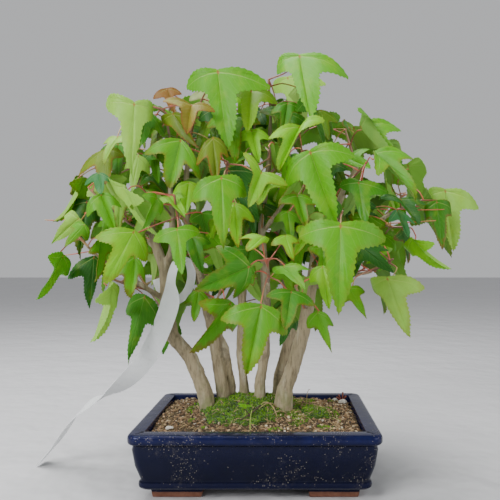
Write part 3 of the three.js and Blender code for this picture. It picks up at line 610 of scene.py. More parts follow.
@dataclass(frozen=True)
class MapleLeaf(Finish):
    """A living blade: a tint painted on each leaf, pale veins, painted sunlit patches, a waxy sheen and light
    through it.
    """

    name: str = "maple_leaf"
    vein_tilt: float = 0.62
    vein_pitch: float = 0.125
    scorch: COLOUR = (0.20, 0.075, 0.02)
    flushed: COLOUR = (0.42, 0.16, 0.025)
    hub_red: COLOUR = (0.48, 0.09, 0.04)
    shaded: COLOUR = (0.02, 0.09, 0.006)
    # Colour of the painted sunlit patches.
    patch: COLOUR = (0.42, 0.60, 0.02)
    pale_vein: COLOUR = (0.52, 0.66, 0.16)
    pale_under: COLOUR = (0.36, 0.56, 0.16)
    passed: COLOUR = (1.0, 1.0, 0.4)
    light_through: float = 0.34

    def build(self, g: Shading, shader: bpy.types.Node) -> None:
        """Builds the blade.

        Args:
            g: The material's tree.
            shader: Its Principled BSDF.
        """
        place = g.place()
        tint = g.attribute("tint", "Color")
        upper = g.attribute("upper")
        chart = g.node("ShaderNodeUVMap", uv_map="blade").outputs[0]
        towards = g.math("ABSOLUTE", g.along(chart, "X"))
        ahead = g.along(chart, "Y")
        main = self.rib(g, towards, g.ramp(ahead, -0.04, 0.0), ahead, 0.010)
        off_lobe = g.math("ABSOLUTE", g.math("SUBTRACT", ahead, g.math("MULTIPLY", towards, 0.02)))
        lobe = self.rib(g, off_lobe, g.ramp(towards, 0.0, 0.02), towards, 0.011)
        side = self.branches(g, towards, ahead, self.vein_tilt)
        lobe_side = self.branches(g, g.math("ABSOLUTE", ahead), towards, 0.8)
        near_main = g.ramp(g.math("SUBTRACT", g.math("MULTIPLY", towards, 1.1), ahead), 0.1, -0.1)
        near_lobe = g.math("SUBTRACT", 1.0, near_main)
        fine = g.math("ADD", g.math("MULTIPLY", side, near_main), g.math("MULTIPLY", lobe_side, near_lobe))
        veins = g.math("MAXIMUM", g.math("MAXIMUM", main, lobe), g.math("MULTIPLY", fine, 0.26))
        tone = mottled(g, place, 0.008, 1.7)
        blade = g.blend(g.math("MULTIPLY", tone, 0.45), tint, g.blend(0.65, tint, self.shaded))
        # Painted light: noise patches lighten each blade towards a sunlit colour.
        paler = g.math("MULTIPLY", g.ramp(g.noise(place, 0.014, 2), 0.5, 0.68), 0.4)
        blade = g.blend(paler, blade, g.blend(0.5, blade, self.patch))
        vein = g.blend(0.55, tint, self.pale_vein)
        blade = g.blend(g.math("MULTIPLY", veins, 0.62), blade, vein)
        under = g.blend(0.5, blade, self.pale_under)
        blade = g.blend(upper, under, blade)
        rim = g.attribute("rim")
        blotch = g.noise(place, 0.0035, 3)
        edge = g.math("ADD", rim, g.math("MULTIPLY", g.math("SUBTRACT", blotch, 0.5), 0.8))
        dryness = g.attribute("dry")
        flush = g.math("MULTIPLY", g.ramp(edge, 0.62, 1.0), g.math("MULTIPLY", dryness, 0.75))
        blade = g.blend(flush, blade, g.blend(blotch, self.flushed, self.scorch))
        far = g.math("MAXIMUM", ahead, g.math("SUBTRACT", towards, 0.04))
        burnt = g.math("ADD", far, g.math("MULTIPLY", blotch, 0.08))
        blade = g.blend(g.math("MULTIPLY", g.ramp(burnt, 0.97, 1.03), dryness), blade, self.scorch)
        hub = g.ramp(g.math("ADD", towards, g.math("ABSOLUTE", ahead)), 0.06, 0.015)
        blade = g.blend(g.math("MULTIPLY", hub, 0.7), blade, self.hub_red)
        g.feed(shader.inputs["Base Color"], blade)
        rough = g.math("ADD", g.math("MULTIPLY", tone, 0.16), 0.33)
        duller = g.math("MULTIPLY", g.math("SUBTRACT", 1.0, upper), 0.3)
        g.feed(shader.inputs["Roughness"], g.math("ADD", rough, duller))
        shader.inputs["Specular IOR Level"].default_value = 0.32
        puff = g.math("SUBTRACT", g.math("MULTIPLY", g.noise(place, 0.003, 2), 0.35), veins)
        g.feed(shader.inputs["Normal"], g.bump(puff, 0.5, 0.0005))
        glow = g.node("ShaderNodeBsdfTranslucent", {"Color": g.blend(1.0, blade, self.passed, "MULTIPLY")})
        both = g.node("ShaderNodeMixShader", {0: self.light_through})
        g.feed(both.inputs[1], shader.outputs[0])
        g.feed(both.inputs[2], glow.outputs[0])
        out = next(n for n in g.tree.nodes if n.type == "OUTPUT_MATERIAL")
        g.feed(out.inputs["Surface"], both.outputs[0])

    @staticmethod
    def rib(g: Shading, off: Value, begins: Value, run: Value, width: float) -> bpy.types.NodeSocket:
        """A main vein that thins towards its end.

        Args:
            g: The material's tree.
            off: Distance from the vein's line.
            begins: 0 before the vein's foot, 1 after it.
            run: Distance along the vein.
            width: The vein's half width at its foot, as a share of the blade.

        Returns:
            1 on the vein and 0 off it.
        """
        half = g.math("MULTIPLY", g.math("SUBTRACT", 1.15, run), width)
        line = g.ramp(g.math("DIVIDE", off, half), 1.2, 0.5)
        return g.math("MULTIPLY", line, begins)

    def branches(self, g: Shading, off: Value, run: Value, tilt: float) -> bpy.types.NodeSocket:
        """Side veins that leave a main vein on a slant, evenly spaced.

        Args:
            g: The material's tree.
            off: Distance from the main vein.
            run: Distance along it.
            tilt: How far ahead a side vein runs for each step away.

        Returns:
            1 on a side vein and 0 off it.
        """
        bent = g.math("MULTIPLY", g.math("POWER", off, 1.25), tilt * 1.3)
        uneven = g.math("MULTIPLY", g.noise(g.place(), 0.012, 2), 0.11)
        phase = g.math("DIVIDE", g.math("ADD", g.math("SUBTRACT", run, bent), uneven), self.vein_pitch)
        away = g.math("ABSOLUTE", g.math("SUBTRACT", g.math("FRACT", phase), 0.5))
        return g.math("MULTIPLY", g.ramp(away, 0.075, 0.02), g.ramp(run, 0.02, 0.07))


@dataclass(frozen=True)
class LabelFilm(Finish):
    """White plastic film, a little scuffed."""

    name: str = "label_film"
    white: COLOUR = (0.78, 0.80, 0.80)
    scuffed: COLOUR = (0.60, 0.62, 0.62)

    def build(self, g: Shading, shader: bpy.types.Node) -> None:
        """Builds the film.

        Args:
            g: The material's tree.
            shader: Its Principled BSDF.
        """
        place = g.place()
        scuff = g.math("MULTIPLY", g.ramp(g.noise(place, 0.005, 6, 0.7), 0.52, 0.72), 0.55)
        g.feed(shader.inputs["Base Color"], g.blend(scuff, self.white, self.scuffed))
        g.feed(shader.inputs["Roughness"], g.math("ADD", g.math("MULTIPLY", scuff, 0.3), 0.34))
        shader.inputs["Specular IOR Level"].default_value = 0.5
        g.feed(shader.inputs["Normal"], g.bump(g.noise(place, 0.004, 3), 0.25, 0.0004))


@dataclass(frozen=True)
class PlainMatter(Finish):
    """Stone, dry stalks, moulded plastic or wire: two tones over a fine bump."""

    name: str = "plain_matter"
    tone_a: COLOUR = (0.5, 0.5, 0.5)
    tone_b: COLOUR = (0.3, 0.3, 0.3)
    patch: float = 0.002
    roughness: float = 0.7
    metallic: float = 0.0

    def build(self, g: Shading, shader: bpy.types.Node) -> None:
        """Builds the finish.

        Args:
            g: The material's tree.
            shader: Its Principled BSDF.
        """
        place = g.place()
        tone = mottled(g, place, self.patch, 2.4)
        g.feed(shader.inputs["Base Color"], g.blend(tone, self.tone_a, self.tone_b))
        g.feed(shader.inputs["Roughness"], g.math("ADD", g.math("MULTIPLY", tone, 0.15), self.roughness))
        shader.inputs["Metallic"].default_value = self.metallic
        g.feed(shader.inputs["Normal"], g.bump(g.noise(place, self.patch * 0.4, 3), 0.4, self.patch * 0.15))


PALE_STONE = PlainMatter("pale_stone", (0.72, 0.69, 0.62), (0.45, 0.41, 0.34), 0.002, 0.75)
DRY_STALK = PlainMatter("dry_stalk", (0.56, 0.43, 0.22), (0.26, 0.17, 0.08), 0.003, 0.7)
DARK_STICK = PlainMatter("dark_stick", (0.10, 0.06, 0.04), (0.04, 0.026, 0.018), 0.002, 0.8)
GREEN_STALK = PlainMatter("green_stalk", (0.42, 0.52, 0.10), (0.24, 0.36, 0.06), 0.003, 0.6)
RED_BUD = PlainMatter("red_bud", (0.30, 0.07, 0.035), (0.14, 0.04, 0.02), 0.001, 0.6)
MESH_PLASTIC = PlainMatter("mesh_plastic", (0.028, 0.028, 0.028), (0.016, 0.016, 0.016), 0.003, 0.5)
SOFT_WIRE = PlainMatter("soft_wire", (0.62, 0.62, 0.64), (0.44, 0.44, 0.46), 0.003, 0.3, 1.0)


# ---------------------------------------------------------------- pot


@dataclass
class GlazedPot:
    """The rectangular pot: rim, moulded band, tapering walls, floor with two holes, corner feet."""

    length: float = 185 * MM
    depth: float = 138 * MM
    height: float = 50 * MM
    corner: float = 9 * MM
    rim: float = 11.5 * MM
    lip: float = 7.6 * MM
    lip_round: float = 3.0 * MM
    foot: float = 8 * MM
    floor: float = 5 * MM
    hole: float = 8 * MM
    hole_spacing: float = 84 * MM
    edge_round: float = 1.1 * MM
    foot_arm: float = 39 * MM
    foot_side_arm: float = 31 * MM
    foot_wall: float = 13 * MM
    foot_inset: float = 15 * MM
    foot_round: float = 1.2 * MM
    wall_steps: tuple[tuple[float, float], ...] = ((-1.0, 0.9), (-3.0, -0.5), (-12.0, 1.7))
    moulding_steps: tuple[tuple[float, float], ...] = (
        (-0.9, -0.1),
        (-0.8, -0.8),
        (-1.7, -0.3),
        (-2.0, 0.3),
        (-1.3, 1.2),
        (-0.9, 2.6),
    )
    stepped_height: float = 23.6 * MM

    def outline(self, piece: bpy.types.Object, up: bool) -> Callable[[bmesh.types.BMFace], bool]:
        """A test for the piece's highest or lowest level face.

        Args:
            piece: The pot.
            up: Whether the highest face is wanted, or the lowest.

        Returns:
            The test.
        """
        mesh = bmesh.from_edit_mesh(piece.data)
        level = [f.calc_center_median().z for f in mesh.faces if abs(f.normal.z) > 0.99]
        height = max(level) if up else min(level)
        return lambda f: abs(f.normal.z) > 0.99 and abs(f.calc_center_median().z - height) < 1e-5

    def step(self, piece: bpy.types.Object, rise: float, inward: float) -> None:
        """Extrudes the selected level face and draws it in all round.

        Args:
            piece: The pot.
            rise: How far up the new face lies, in metres.
            inward: How far in its sides lie, in metres.
        """
        bpy.ops.mesh.extrude_region_move(TRANSFORM_OT_translate={"value": (0, 0, rise)})
        mesh = bmesh.from_edit_mesh(piece.data)
        chosen = [v for v in mesh.verts if v.select]
        half_x = max(v.co.x for v in chosen)
        half_y = max(v.co.y for v in chosen)
        scale = ((half_x - inward) / half_x, (half_y - inward) / half_y, 1)
        bpy.ops.transform.resize(value=scale, center_override=(0, 0, 0))

    def make_body(self) -> bpy.types.Object:
        """Models the pot without its feet.

        Returns:
            The pot's body.
        """
        pick(next(iter(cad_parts.values())))
        bpy.ops.object.select_all(action="DESELECT")
        bpy.ops.mesh.primitive_cube_add(size=1, location=(0, 0, self.height - self.lip / 2))
        body = bpy.context.object
        body.name = "pot_body"
        body.scale = (self.length, self.depth, self.lip)
        bpy.ops.object.transform_apply(location=True, rotation=True, scale=True)
        with editing(body):
            select_where(body, "EDGE", lambda e: abs((e.verts[0].co - e.verts[1].co).normalized().z) > 0.9)
            bpy.ops.mesh.bevel(offset=self.corner, segments=8, profile=0.5)
            high = self.height - 0.01 * MM
            select_where(body, "EDGE", lambda e: min(v.co.z for v in e.verts) > high)
            bpy.ops.mesh.bevel(offset=self.lip_round, segments=6, profile=0.5)
            low = self.height - self.lip + 0.01 * MM
            select_where(body, "EDGE", lambda e: max(e.verts[0].co.z, e.verts[1].co.z) < low)
            bpy.ops.mesh.bevel(offset=self.lip_round * 0.75, segments=5, profile=0.5)
            select_where(body, "FACE", self.outline(body, False))
            bpy.ops.mesh.inset(thickness=0.5 * MM)
            for rise, inward in self.wall_steps:
                self.step(body, rise * MM, inward * MM)
            self.step(body, -(self.height - self.lip - self.foot - self.stepped_height), 3.4 * MM)
            for rise, inward in self.moulding_steps:
                self.step(body, rise * MM, inward * MM)
            select_where(body, "FACE", self.outline(body, True))
            bpy.ops.mesh.inset(thickness=self.rim - self.lip_round)
            self.step(body, -1.2 * MM, 0.3 * MM)
            self.step(body, -(self.height - self.foot - self.floor - 1.2 * MM), 5.5 * MM)
        cutters = []
        for side in (-1, 1):
            at = (side * self.hole_spacing / 2, 0, self.foot + self.floor / 2)
            bpy.ops.mesh.primitive_cylinder_add(vertices=40, radius=self.hole, depth=0.03, location=at)
            cutters.append(bpy.context.object)
        for cutter in cutters:
            finish_with(body, "BOOLEAN", operation="DIFFERENCE", object=cutter, solver="EXACT")
            bpy.data.objects.remove(cutter)
        round_edges(body, self.edge_round, 28)
        return body

    def make_foot(self, name: str, across: int, deep: int) -> bpy.types.Object:
        """Models one corner foot, an L in plan that narrows downward.

        Args:
            name: The foot's name.
            across: -1 on the left, 1 on the right.
            deep: -1 at the front, 1 at the back.

        Returns:
            The foot.
        """
        arm, side_arm, wall = self.foot_arm, self.foot_side_arm, self.foot_wall
        corner = Vector((self.length / 2 - self.foot_inset, self.depth / 2 - self.foot_inset, 0))
        low, high = Vector((corner.x - wall, corner.y - wall, 0)), corner
        middle = (low + high) / 2
        bpy.ops.mesh.primitive_cube_add(size=1, location=(middle.x, middle.y, self.foot / 2 + 0.1 * MM))
        foot = bpy.context.object
        foot.name = name
        foot.scale = (wall, wall, self.foot - 0.2 * MM)
        bpy.ops.object.transform_apply(location=True, rotation=True, scale=True)
        with editing(foot):
            select_where(foot, "FACE", lambda f: f.normal.x < -0.9)
            bpy.ops.mesh.extrude_region_move(TRANSFORM_OT_translate={"value": (wall - arm, 0, 0)})
            select_where(foot, "FACE", lambda f: f.normal.y < -0.9 and f.calc_center_median().x > low.x)
            bpy.ops.mesh.extrude_region_move(TRANSFORM_OT_translate={"value": (0, wall - side_arm, 0)})
            bpy.ops.mesh.select_all(action="DESELECT")
            mesh = bmesh.from_edit_mesh(foot.data)
            for v in mesh.verts:
                v.select_set(v.co.z < self.foot / 2)
            mesh.select_flush(True)
            bmesh.update_edit_mesh(foot.data)
            centre = (corner.x - arm / 2, corner.y - side_arm / 2, 0)
            bpy.ops.transform.resize(value=(0.93, 0.93, 1), center_override=centre)
            bpy.ops.mesh.select_all(action="SELECT")
            bpy.ops.transform.translate(value=(0, 0, -0.1 * MM))
            bpy.ops.transform.resize(value=(across, deep, 1), center_override=(0, 0, 0))
            bpy.ops.mesh.normals_make_consistent(inside=False)
        round_edges(foot, self.foot_round, 40)
        return foot

    def paint_edge_glaze_and_highlight(self, piece: bpy.types.Object) -> None:
        """Paints how near each vertex lies to the outer corners and the plinth band, where the glaze breaks
        bluer and a highlight is painted in.
        """
        points = points_of(piece)
        x, y, z = np.abs(points[:, 0]), np.abs(points[:, 1]), points[:, 2]
        corner = np.clip((x - (self.length / 2 - 16 * MM)) / (10 * MM), 0, 1) * np.clip(
            (y - (self.depth / 2 - 16 * MM)) / (10 * MM), 0, 1
        )
        # The plinth band's share paints a highlight along the lip as well as broken glaze.
        foot = np.clip((self.foot + 6.8 * MM - z) / (1.5 * MM), 0, 1) * 0.55
        paint(piece, "edge", np.clip(corner * 0.8 + foot, 0, 1))

    def make(self) -> None:
        """Makes the pot's body and feet."""
        glaze = CobaltGlaze().material()
        body = self.make_body()
        smooth(body, 32)
        self.paint_edge_glaze_and_highlight(body)
        hand_over(body, glaze, ["pot"])
        for name, across, deep in (
            ("foot_front_left", -1, -1),
            ("foot_front_right", 1, -1),
            ("foot_back_left", -1, 1),
            ("foot_back_right", 1, 1),
        ):
            foot = self.make_foot(name, across, deep)
            smooth(foot, 40)
            self.paint_edge_glaze_and_highlight(foot)
            hand_over(foot, glaze)


# ---------------------------------------------------------------- what fills the pot


@dataclass
class Planting:
    """Soil with loose grains, moss cushions with their tufts, and stones."""

    grain_count: int = 5200
    tuft_count: int = 15000
    seed: int = 41
    half_length: float = 78.5 * MM
    half_depth: float = 55 * MM
    moss_nodes: tuple[str, ...] = ("moss_1", "moss_2", "moss_3")
    stone_nodes: tuple[str, ...] = ("stone_1", "stone_2", "stone_3")
    grain_tones: tuple[COLOUR, ...] = (
        (0.30, 0.19, 0.10),
        (0.42, 0.30, 0.17),
        (0.20, 0.12, 0.06),
        (0.12, 0.075, 0.045),
        (0.50, 0.40, 0.26),
        (0.055, 0.04, 0.03),
        (0.60, 0.54, 0.44),
    )
    grain_shares: tuple[float, ...] = (26, 18, 22, 16, 8, 8, 2)
    surface: Optional[BVHTree] = field(default=None, init=False)
    moss_surface: Optional[BVHTree] = field(default=None, init=False)

    def tree_of(self, pieces: Sequence[bpy.types.Object]) -> BVHTree:
        """A tree for finding places on pieces.

        Args:
            pieces: The pieces whose surface is wanted.

        Returns:
            The tree.
        """
        points: list[Vector] = []
        faces: list[list[int]] = []
        for piece in pieces:
            first = len(points)
            points += [v.co.copy() for v in piece.data.vertices]
            faces += [[first + i for i in p.vertices] for p in piece.data.polygons]
        return BVHTree.FromPolygons(points, faces)

    def drop(self, surface: BVHTree, x: float, y: float) -> tuple[Optional[Vector], Optional[Vector]]:
        """Where a vertical line meets a surface from above.

        Args:
            surface: The surface's tree.
            x: Across, in metres.
            y: Deep, in metres.

        Returns:
            The point and the surface's normal there, or None twice.
        """
        place, normal, _, _ = surface.ray_cast(Vector((x, y, 0.2)), Vector((0, 0, -1)))
        return place, normal

    def make_bed(self) -> None:
        """Makes the soil bed."""
        bed = carried_copy("soil", "soil_bed")
        finish_with(bed, "REMESH", mode="VOXEL", voxel_size=1.7 * MM)
        points = points_of(bed)
        raised = points[:, 2] > 40 * MM
        before = points.copy()
        roughen(bed, 1.3 * MM, 7 * MM, 1)
        after = points_of(bed)
        after[~raised] = before[~raised]
        after[:, 2] = np.minimum(after[:, 2], before[:, 2] + 0.8 * MM)
        put_points(bed, after)
        smooth(bed, 60)
        self.surface = self.tree_of([bed])
        hand_over(bed, GrittySoil().material(), ["soil"])

    def make_moss(self) -> None:
        """Makes the moss cushions."""
        moss = []
        for number, node in enumerate(self.moss_nodes):
            cushion = carried_copy(node, node + "_cushion")
            finish_with(cushion, "REMESH", mode="VOXEL", voxel_size=1.1 * MM)
            roughen(cushion, 1.5 * MM, 5 * MM, 3 + number)
            roughen(cushion, 0.7 * MM, 1.6 * MM, 5 + number)
            paint(cushion, "fresh_and_lit", np.zeros(len(cushion.data.vertices)))
            smooth(cushion, 70)
            moss.append(cushion)
        self.moss_surface = self.tree_of(moss)
        for cushion, node in zip(moss, self.moss_nodes):
            hand_over(cushion, SoftMoss().material(), [node])

    def make_pebble(self) -> tuple[np.ndarray, list[list[int]]]:
        """Models one grain of a size of 1 by hand.

        Returns:
            Its points and its faces.
        """
        bpy.ops.object.select_all(action="DESELECT")
        bpy.ops.mesh.primitive_ico_sphere_add(subdivisions=1, radius=0.5)
        pebble = bpy.context.object
        with editing(pebble):
            bpy.ops.mesh.select_all(action="SELECT")
            bpy.ops.transform.resize(value=(1.0, 0.8, 0.66))
        points = points_of(pebble)
        faces = [list(p.vertices) for p in pebble.data.polygons]
        bpy.data.objects.remove(pebble)
        return points, faces

    def make_grains(self) -> None:
        """Strews loose grains over the bare soil."""
        rng = np.random.default_rng(self.seed)
        shape, shape_faces = self.make_pebble()
        points, faces, tints = [], [], []
        shares = np.array(self.grain_shares) / sum(self.grain_shares)
        made = 0
        for _ in range(self.grain_count):
            x = rng.uniform(-1, 1) * self.half_length
            y = rng.uniform(-1, 1) * self.half_depth
            size = 0.9 + 2.3 * rng.random() ** 2.2
            spin = Matrix.Rotation(rng.uniform(0, 6.28), 3, "Z")
            turn = spin @ Matrix.Rotation(rng.uniform(-0.6, 0.6), 3, "X")
            lumps = 1 + 0.22 * rng.standard_normal((len(shape), 1))
            tone = self.grain_tones[rng.choice(len(shares), p=shares)]
            moss, _ = self.drop(self.moss_surface, x, y)
            if moss is not None and rng.random() > 0.06:
                continue
            ground, _ = self.drop(self.surface, x, y)
            if ground is None:
                continue
            place = max(ground.z, moss.z if moss is not None else 0)
            own = shape * lumps * size * MM @ np.array(turn).T
            own += np.array([x, y, place + 0.18 * size * MM])
            first = made * len(shape)
            points.append(own)
            faces += [[first + i for i in f] for f in shape_faces]
            pale = 1.4 + 0.3 * math.sin(x * 37) + 0.5 * (rng.random() - 0.5)
            tints.append(np.tile(np.clip(np.array(tone) * pale, 0, 1), (len(shape), 1)))
            made += 1
        grains = new_piece("loose_grains", np.vstack(points), faces)
        paint(grains, "tint", np.vstack(tints))
        smooth(grains, 45)
        hand_over(grains, LooseGrain().material())

    def moss_creeps(self, x: float, y: float) -> bool:
        """Whether moss has crept over the soil here, in patches round the cushions."""
        patch = noise.noise(Vector((x, y, 0.03)) / (13 * MM))
        return patch > 0.9 * math.hypot((x - 6 * MM) / (62 * MM), (y + 4 * MM) / (50 * MM)) - 0.62

    def make_tufts(self) -> None:
        """Grows pointed tufts all over the moss."""
        rng = np.random.default_rng(self.seed + 1)
        points, faces, fresh_and_lit = [], [], []
        thirds = (0, 2.09, 4.19)
        made = 0
        for _ in range(self.tuft_count):
            x = rng.uniform(-60, 66) * MM
            y = rng.uniform(-48, 56) * MM
            place, normal = self.drop(self.moss_surface, x, y)
            lean = Vector(rng.uniform(-0.8, 0.8, 3))
            if place is None and self.moss_creeps(x, y):
                place, normal = self.drop(self.surface, x, y)
            tall = (0.9 + 1.9 * rng.random()) * MM
            wide = 0.34 * MM
            tone = rng.random()
            if place is None or normal.z < 0.1:
                continue
            up = (normal + lean * 0.7).normalized()
            side = up.orthogonal().normalized()
            other = up.cross(side)
            foot = place - normal * 0.3 * MM
            ring = [foot + (side * math.cos(a) + other * math.sin(a)) * wide for a in thirds]
            belly = [
                foot + up * tall * 0.5 + (side * math.cos(a + 1) + other * math.sin(a + 1)) * wide * 1.2
                for a in thirds
            ]
            tip = foot + up * tall
            first = made * 7
            points += [*ring, *belly, tip]
            for i in range(3):
                j = (i + 1) % 3
                faces.append([first + i, first + j, first + 3 + j, first + 3 + i])
                faces.append([first + 3 + i, first + 3 + j, first + 6])
            faces.append([first + 2, first + 1, first])
            # Each tuft is painted dark at its foot as painted shade, and brighter towards its fresh tip.
            fresh_and_lit += [0.0] * 3 + [0.25 + 0.3 * tone] * 3 + [0.5 + 0.5 * tone]
            made += 1
        tufts = new_piece("moss_tufts", np.array([list(p) for p in points]), faces)
        paint(tufts, "fresh_and_lit", np.array(fresh_and_lit))
        smooth(tufts, 60)
        hand_over(tufts, SoftMoss().material())

    def make_stones(self) -> None:
        """Makes the pale stones."""
        for number, node in enumerate(self.stone_nodes):
            stone = carried_copy(node, node + "_pale")
            finish_with(stone, "SUBSURF", levels=3, render_levels=3)
            roughen(stone, 0.35 * MM, 2.2 * MM, 11 + number)
            smooth(stone, 50)
            hand_over(stone, PALE_STONE.material(), [node])

    def make(self) -> None:
        """Makes all that fills the pot."""
        self.make_bed()
        self.make_moss()
        self.make_grains()
        self.make_tufts()
        self.make_stones()


# ---------------------------------------------------------------- trunks


@dataclass
class Trunks:
    """The clump's trunks with their branches."""

    names: tuple[str, ...] = tuple(f"trunk_{i}" for i in range(1, 7))
    grain: float = 0.85 * MM
    places: list[Vector] = field(default_factory=list)

    def make(self) -> None:
        """Makes each trunk from its frame node: rounded, then wrinkled along its length."""
        for number, node in enumerate(self.names):
            trunk = carried_copy(node, node + "_bark")
            finish_with(trunk, "REMESH", mode="VOXEL", voxel_size=self.grain)
            finish_with(trunk, "SMOOTH", factor=0.6, iterations=6)
            self.wrinkle(trunk, number)
            smooth(trunk, 70)
            hand_over(trunk, MapleBark().material(), [node])

    def wrinkle(self, trunk: bpy.types.Object, number: int) -> None:
        """Pushes bark ridges and lumps into a trunk, both stronger towards its foot.

        Args:
            trunk: The trunk.
            number: Its number, which shifts the noise.
        """
        points, normals = points_of(trunk), normals_of(trunk)
        shift = Vector((number * 3.7, 0, number * 1.9))
        push = []
        for x, y, z in points:
            low = max(0.0, 1 - (z - 50 * MM) / (120 * MM))
            ridge = noise.fractal(Vector((x / (3 * MM), y / (3 * MM), z / (14 * MM))) + shift, 0.7, 2, 3)
            lump = noise.noise(Vector((x, y, z)) / (16 * MM) + shift)
            push.append((0.35 + 0.25 * low) * ridge + (0.3 + 0.7 * low) * lump)
        bark = points + normals * (np.array(push) * MM + 0.25 * MM)[:, None]
        put_points(trunk, bark)
        high = bark[(bark[:, 2] > 165 * MM) & (bark[:, 2] < 245 * MM)]
        self.places += [Vector(place) for place in high[::40]]


# ---------------------------------------------------------------- leaves


class Stalk:
    """A thin round stalk, modelled once by hand and laid along any path."""

    sides: int = 6
    cuts: int = 11

    def __init__(self) -> None:
        """Models the stalk, a unit long and of unit radius."""
        bpy.ops.object.select_all(action="DESELECT")
        bpy.ops.mesh.primitive_cylinder_add(vertices=self.sides, radius=1, depth=1, location=(0, 0, 0.5))
        rod = bpy.context.object
        bpy.ops.object.transform_apply(location=True, rotation=True, scale=True)
        with editing(rod):
            select_where(rod, "EDGE", lambda e: abs(e.verts[0].co.z - e.verts[1].co.z) > 0.5)
            bpy.ops.mesh.subdivide(number_cuts=self.cuts)
        self.points = points_of(rod)
        self.faces = [list(p.vertices) for p in rod.data.polygons]
        bpy.data.objects.remove(rod)

    def laid(self, path: Sequence[Sequence[float]], radii: tuple[float, float]) -> np.ndarray:
        """Lays the stalk along a smooth path.

        Args:
            path: The path's control points, in metres.
            radii: The stalk's radius at its foot and at its end.

        Returns:
            The stalk's points.
        """
        control = np.array(path, float)
        degree = len(control) - 1
        t = self.points[:, 2:3]
        centre = sum(
            math.comb(degree, i) * t**i * (1 - t) ** (degree - i) * c for i, c in enumerate(control)
        )
        steps = np.diff(control, axis=0) * degree
        along = sum(
            math.comb(degree - 1, i) * t**i * (1 - t) ** (degree - 1 - i) * c for i, c in enumerate(steps)
        )
        along /= np.maximum(np.linalg.norm(along, axis=1, keepdims=True), 1e-9)
        chord = control[-1] - control[0]
        still = np.zeros(3)
        still[int(np.argmin(np.abs(chord)))] = 1
        side = np.cross(along, still)
        side /= np.maximum(np.linalg.norm(side, axis=1, keepdims=True), 1e-9)
        other = np.cross(along, side)
        radius = radii[0] * (1 - t) + radii[1] * t
        return centre + (side * self.points[:, :1] - other * self.points[:, 1:2]) * radius

    def bunch(
        self,
        name: str,
        paths: Sequence[Sequence[Sequence[float]]],
        radii: Sequence[tuple[float, float]],
    ) -> bpy.types.Object:
        """Lays many stalks, in one piece.

        Args:
            name: The piece's name.
            paths: Each stalk's control points.
            radii: Each stalk's radius at its foot and at its end.

        Returns:
            The piece.
        """
        points = [self.laid(path, pair) for path, pair in zip(paths, radii)]
        size = len(self.points)
        faces = [[n * size + i for i in f] for n in range(len(points)) for f in self.faces]
        piece = new_piece(name, np.vstack(points), faces)
        smooth(piece, 60)
        return piece


class LeafTone(Enum):
    """How a leaf looks from above: its colour, with the darker tones also serving as painted shade for leaves
    deep in the crown.
    """

    BRIGHT = (0.26, 0.66, 0.005)
    FRESH = (0.14, 0.48, 0.005)
    MIDDLE = (0.062, 0.3, 0.006)
    # Also used as painted shade for leaves deep in the crown.
    DARK = (0.022, 0.155, 0.01)
    TEAL = (0.05, 0.27, 0.07)
    LIME = (0.42, 0.76, 0.1)
    CREAM = (0.6, 0.72, 0.3)
    OLIVE = (0.19, 0.29, 0.008)
    YOUNG = (0.3, 0.24, 0.02)
    RUST = (0.34, 0.15, 0.025)


@dataclass(frozen=True)
class Note:
    """A leaf that stands out: where its hub is seen from the front, in millimetres, and its tone."""

    across: float
    up: float
    tone: LeafTone
    dry: float = 0.0


NOTES: tuple[Note, ...] = (
    Note(-103.5, 305, LeafTone.LIME),
    Note(-92, 299, LeafTone.MIDDLE),
    Note(-71, 297, LeafTone.OLIVE, 1),
    Note(-65, 275, LeafTone.FRESH, 0.6),
    Note(-128, 267, LeafTone.OLIVE, 0.8),
    Note(-147, 243, LeafTone.BRIGHT, 0.4),
    Note(-133, 248, LeafTone.TEAL),
    Note(-110, 236, LeafTone.LIME),
    Note(-85, 227, LeafTone.FRESH),
    Note(-56, 304, LeafTone.YOUNG, 1),
    Note(-76, 318, LeafTone.RUST, 1),
    Note(-46, 316, LeafTone.CREAM, 0.5),
    Note(-34, 332, LeafTone.FRESH),
    Note(-12, 314, LeafTone.BRIGHT),
    Note(34, 345, LeafTone.FRESH),
    Note(24, 327, LeafTone.LIME),
    Note(34, 286, LeafTone.BRIGHT, 0.3),
    Note(2, 248, LeafTone.BRIGHT, 0.4),
    Note(43, 265, LeafTone.FRESH),
    Note(-38, 277, LeafTone.OLIVE, 1),
    Note(-31, 244, LeafTone.FRESH, 0.3),
    Note(-25, 250, LeafTone.DARK),
    Note(85, 286, LeafTone.FRESH),
    Note(96, 264, LeafTone.FRESH, 0.4),
    Note(83, 240, LeafTone.MIDDLE),
    Note(62, 256, LeafTone.DARK),
    Note(155, 233, LeafTone.LIME),
    Note(128, 194, LeafTone.BRIGHT),
    Note(115, 217, LeafTone.TEAL),
    Note(68, 204, LeafTone.FRESH, 0.3),
    Note(85, 187, LeafTone.DARK),
    Note(107, 160, LeafTone.LIME, 0.3),
    Note(-163, 179, LeafTone.FRESH),
    Note(-104, 199, LeafTone.BRIGHT, 0.4),
    Note(-137, 178, LeafTone.DARK),
    Note(-95, 145, LeafTone.MIDDLE),
    Note(-68, 201, LeafTone.FRESH),
    Note(-8, 170, LeafTone.MIDDLE, 0.5),
    Note(-24, 140, LeafTone.FRESH, 0.8),
    Note(2, 137, LeafTone.FRESH, 0.5),
    Note(27, 149, LeafTone.MIDDLE, 0.6),
    Note(27, 130, LeafTone.DARK),
)


@dataclass(frozen=True)
class Blade:
    """One leaf's place: hub, tip, its two side lobes' points, and the way its upper face looks."""

    hub: Vector
    tip: Vector
    lobes: tuple[Vector, Vector]
    normal: Vector

    @property
    def length(self) -> float:
        """From hub to tip, in metres."""
        return (self.tip - self.hub).length

    def seen(self) -> tuple[float, float]:
        """Where the hub is seen from the front, across and up, in millimetres."""
        ray = self.hub - VIEWER
        spot = VIEWER + ray * (-VIEWER.y / ray.y)
        return spot.x / MM, spot.z / MM


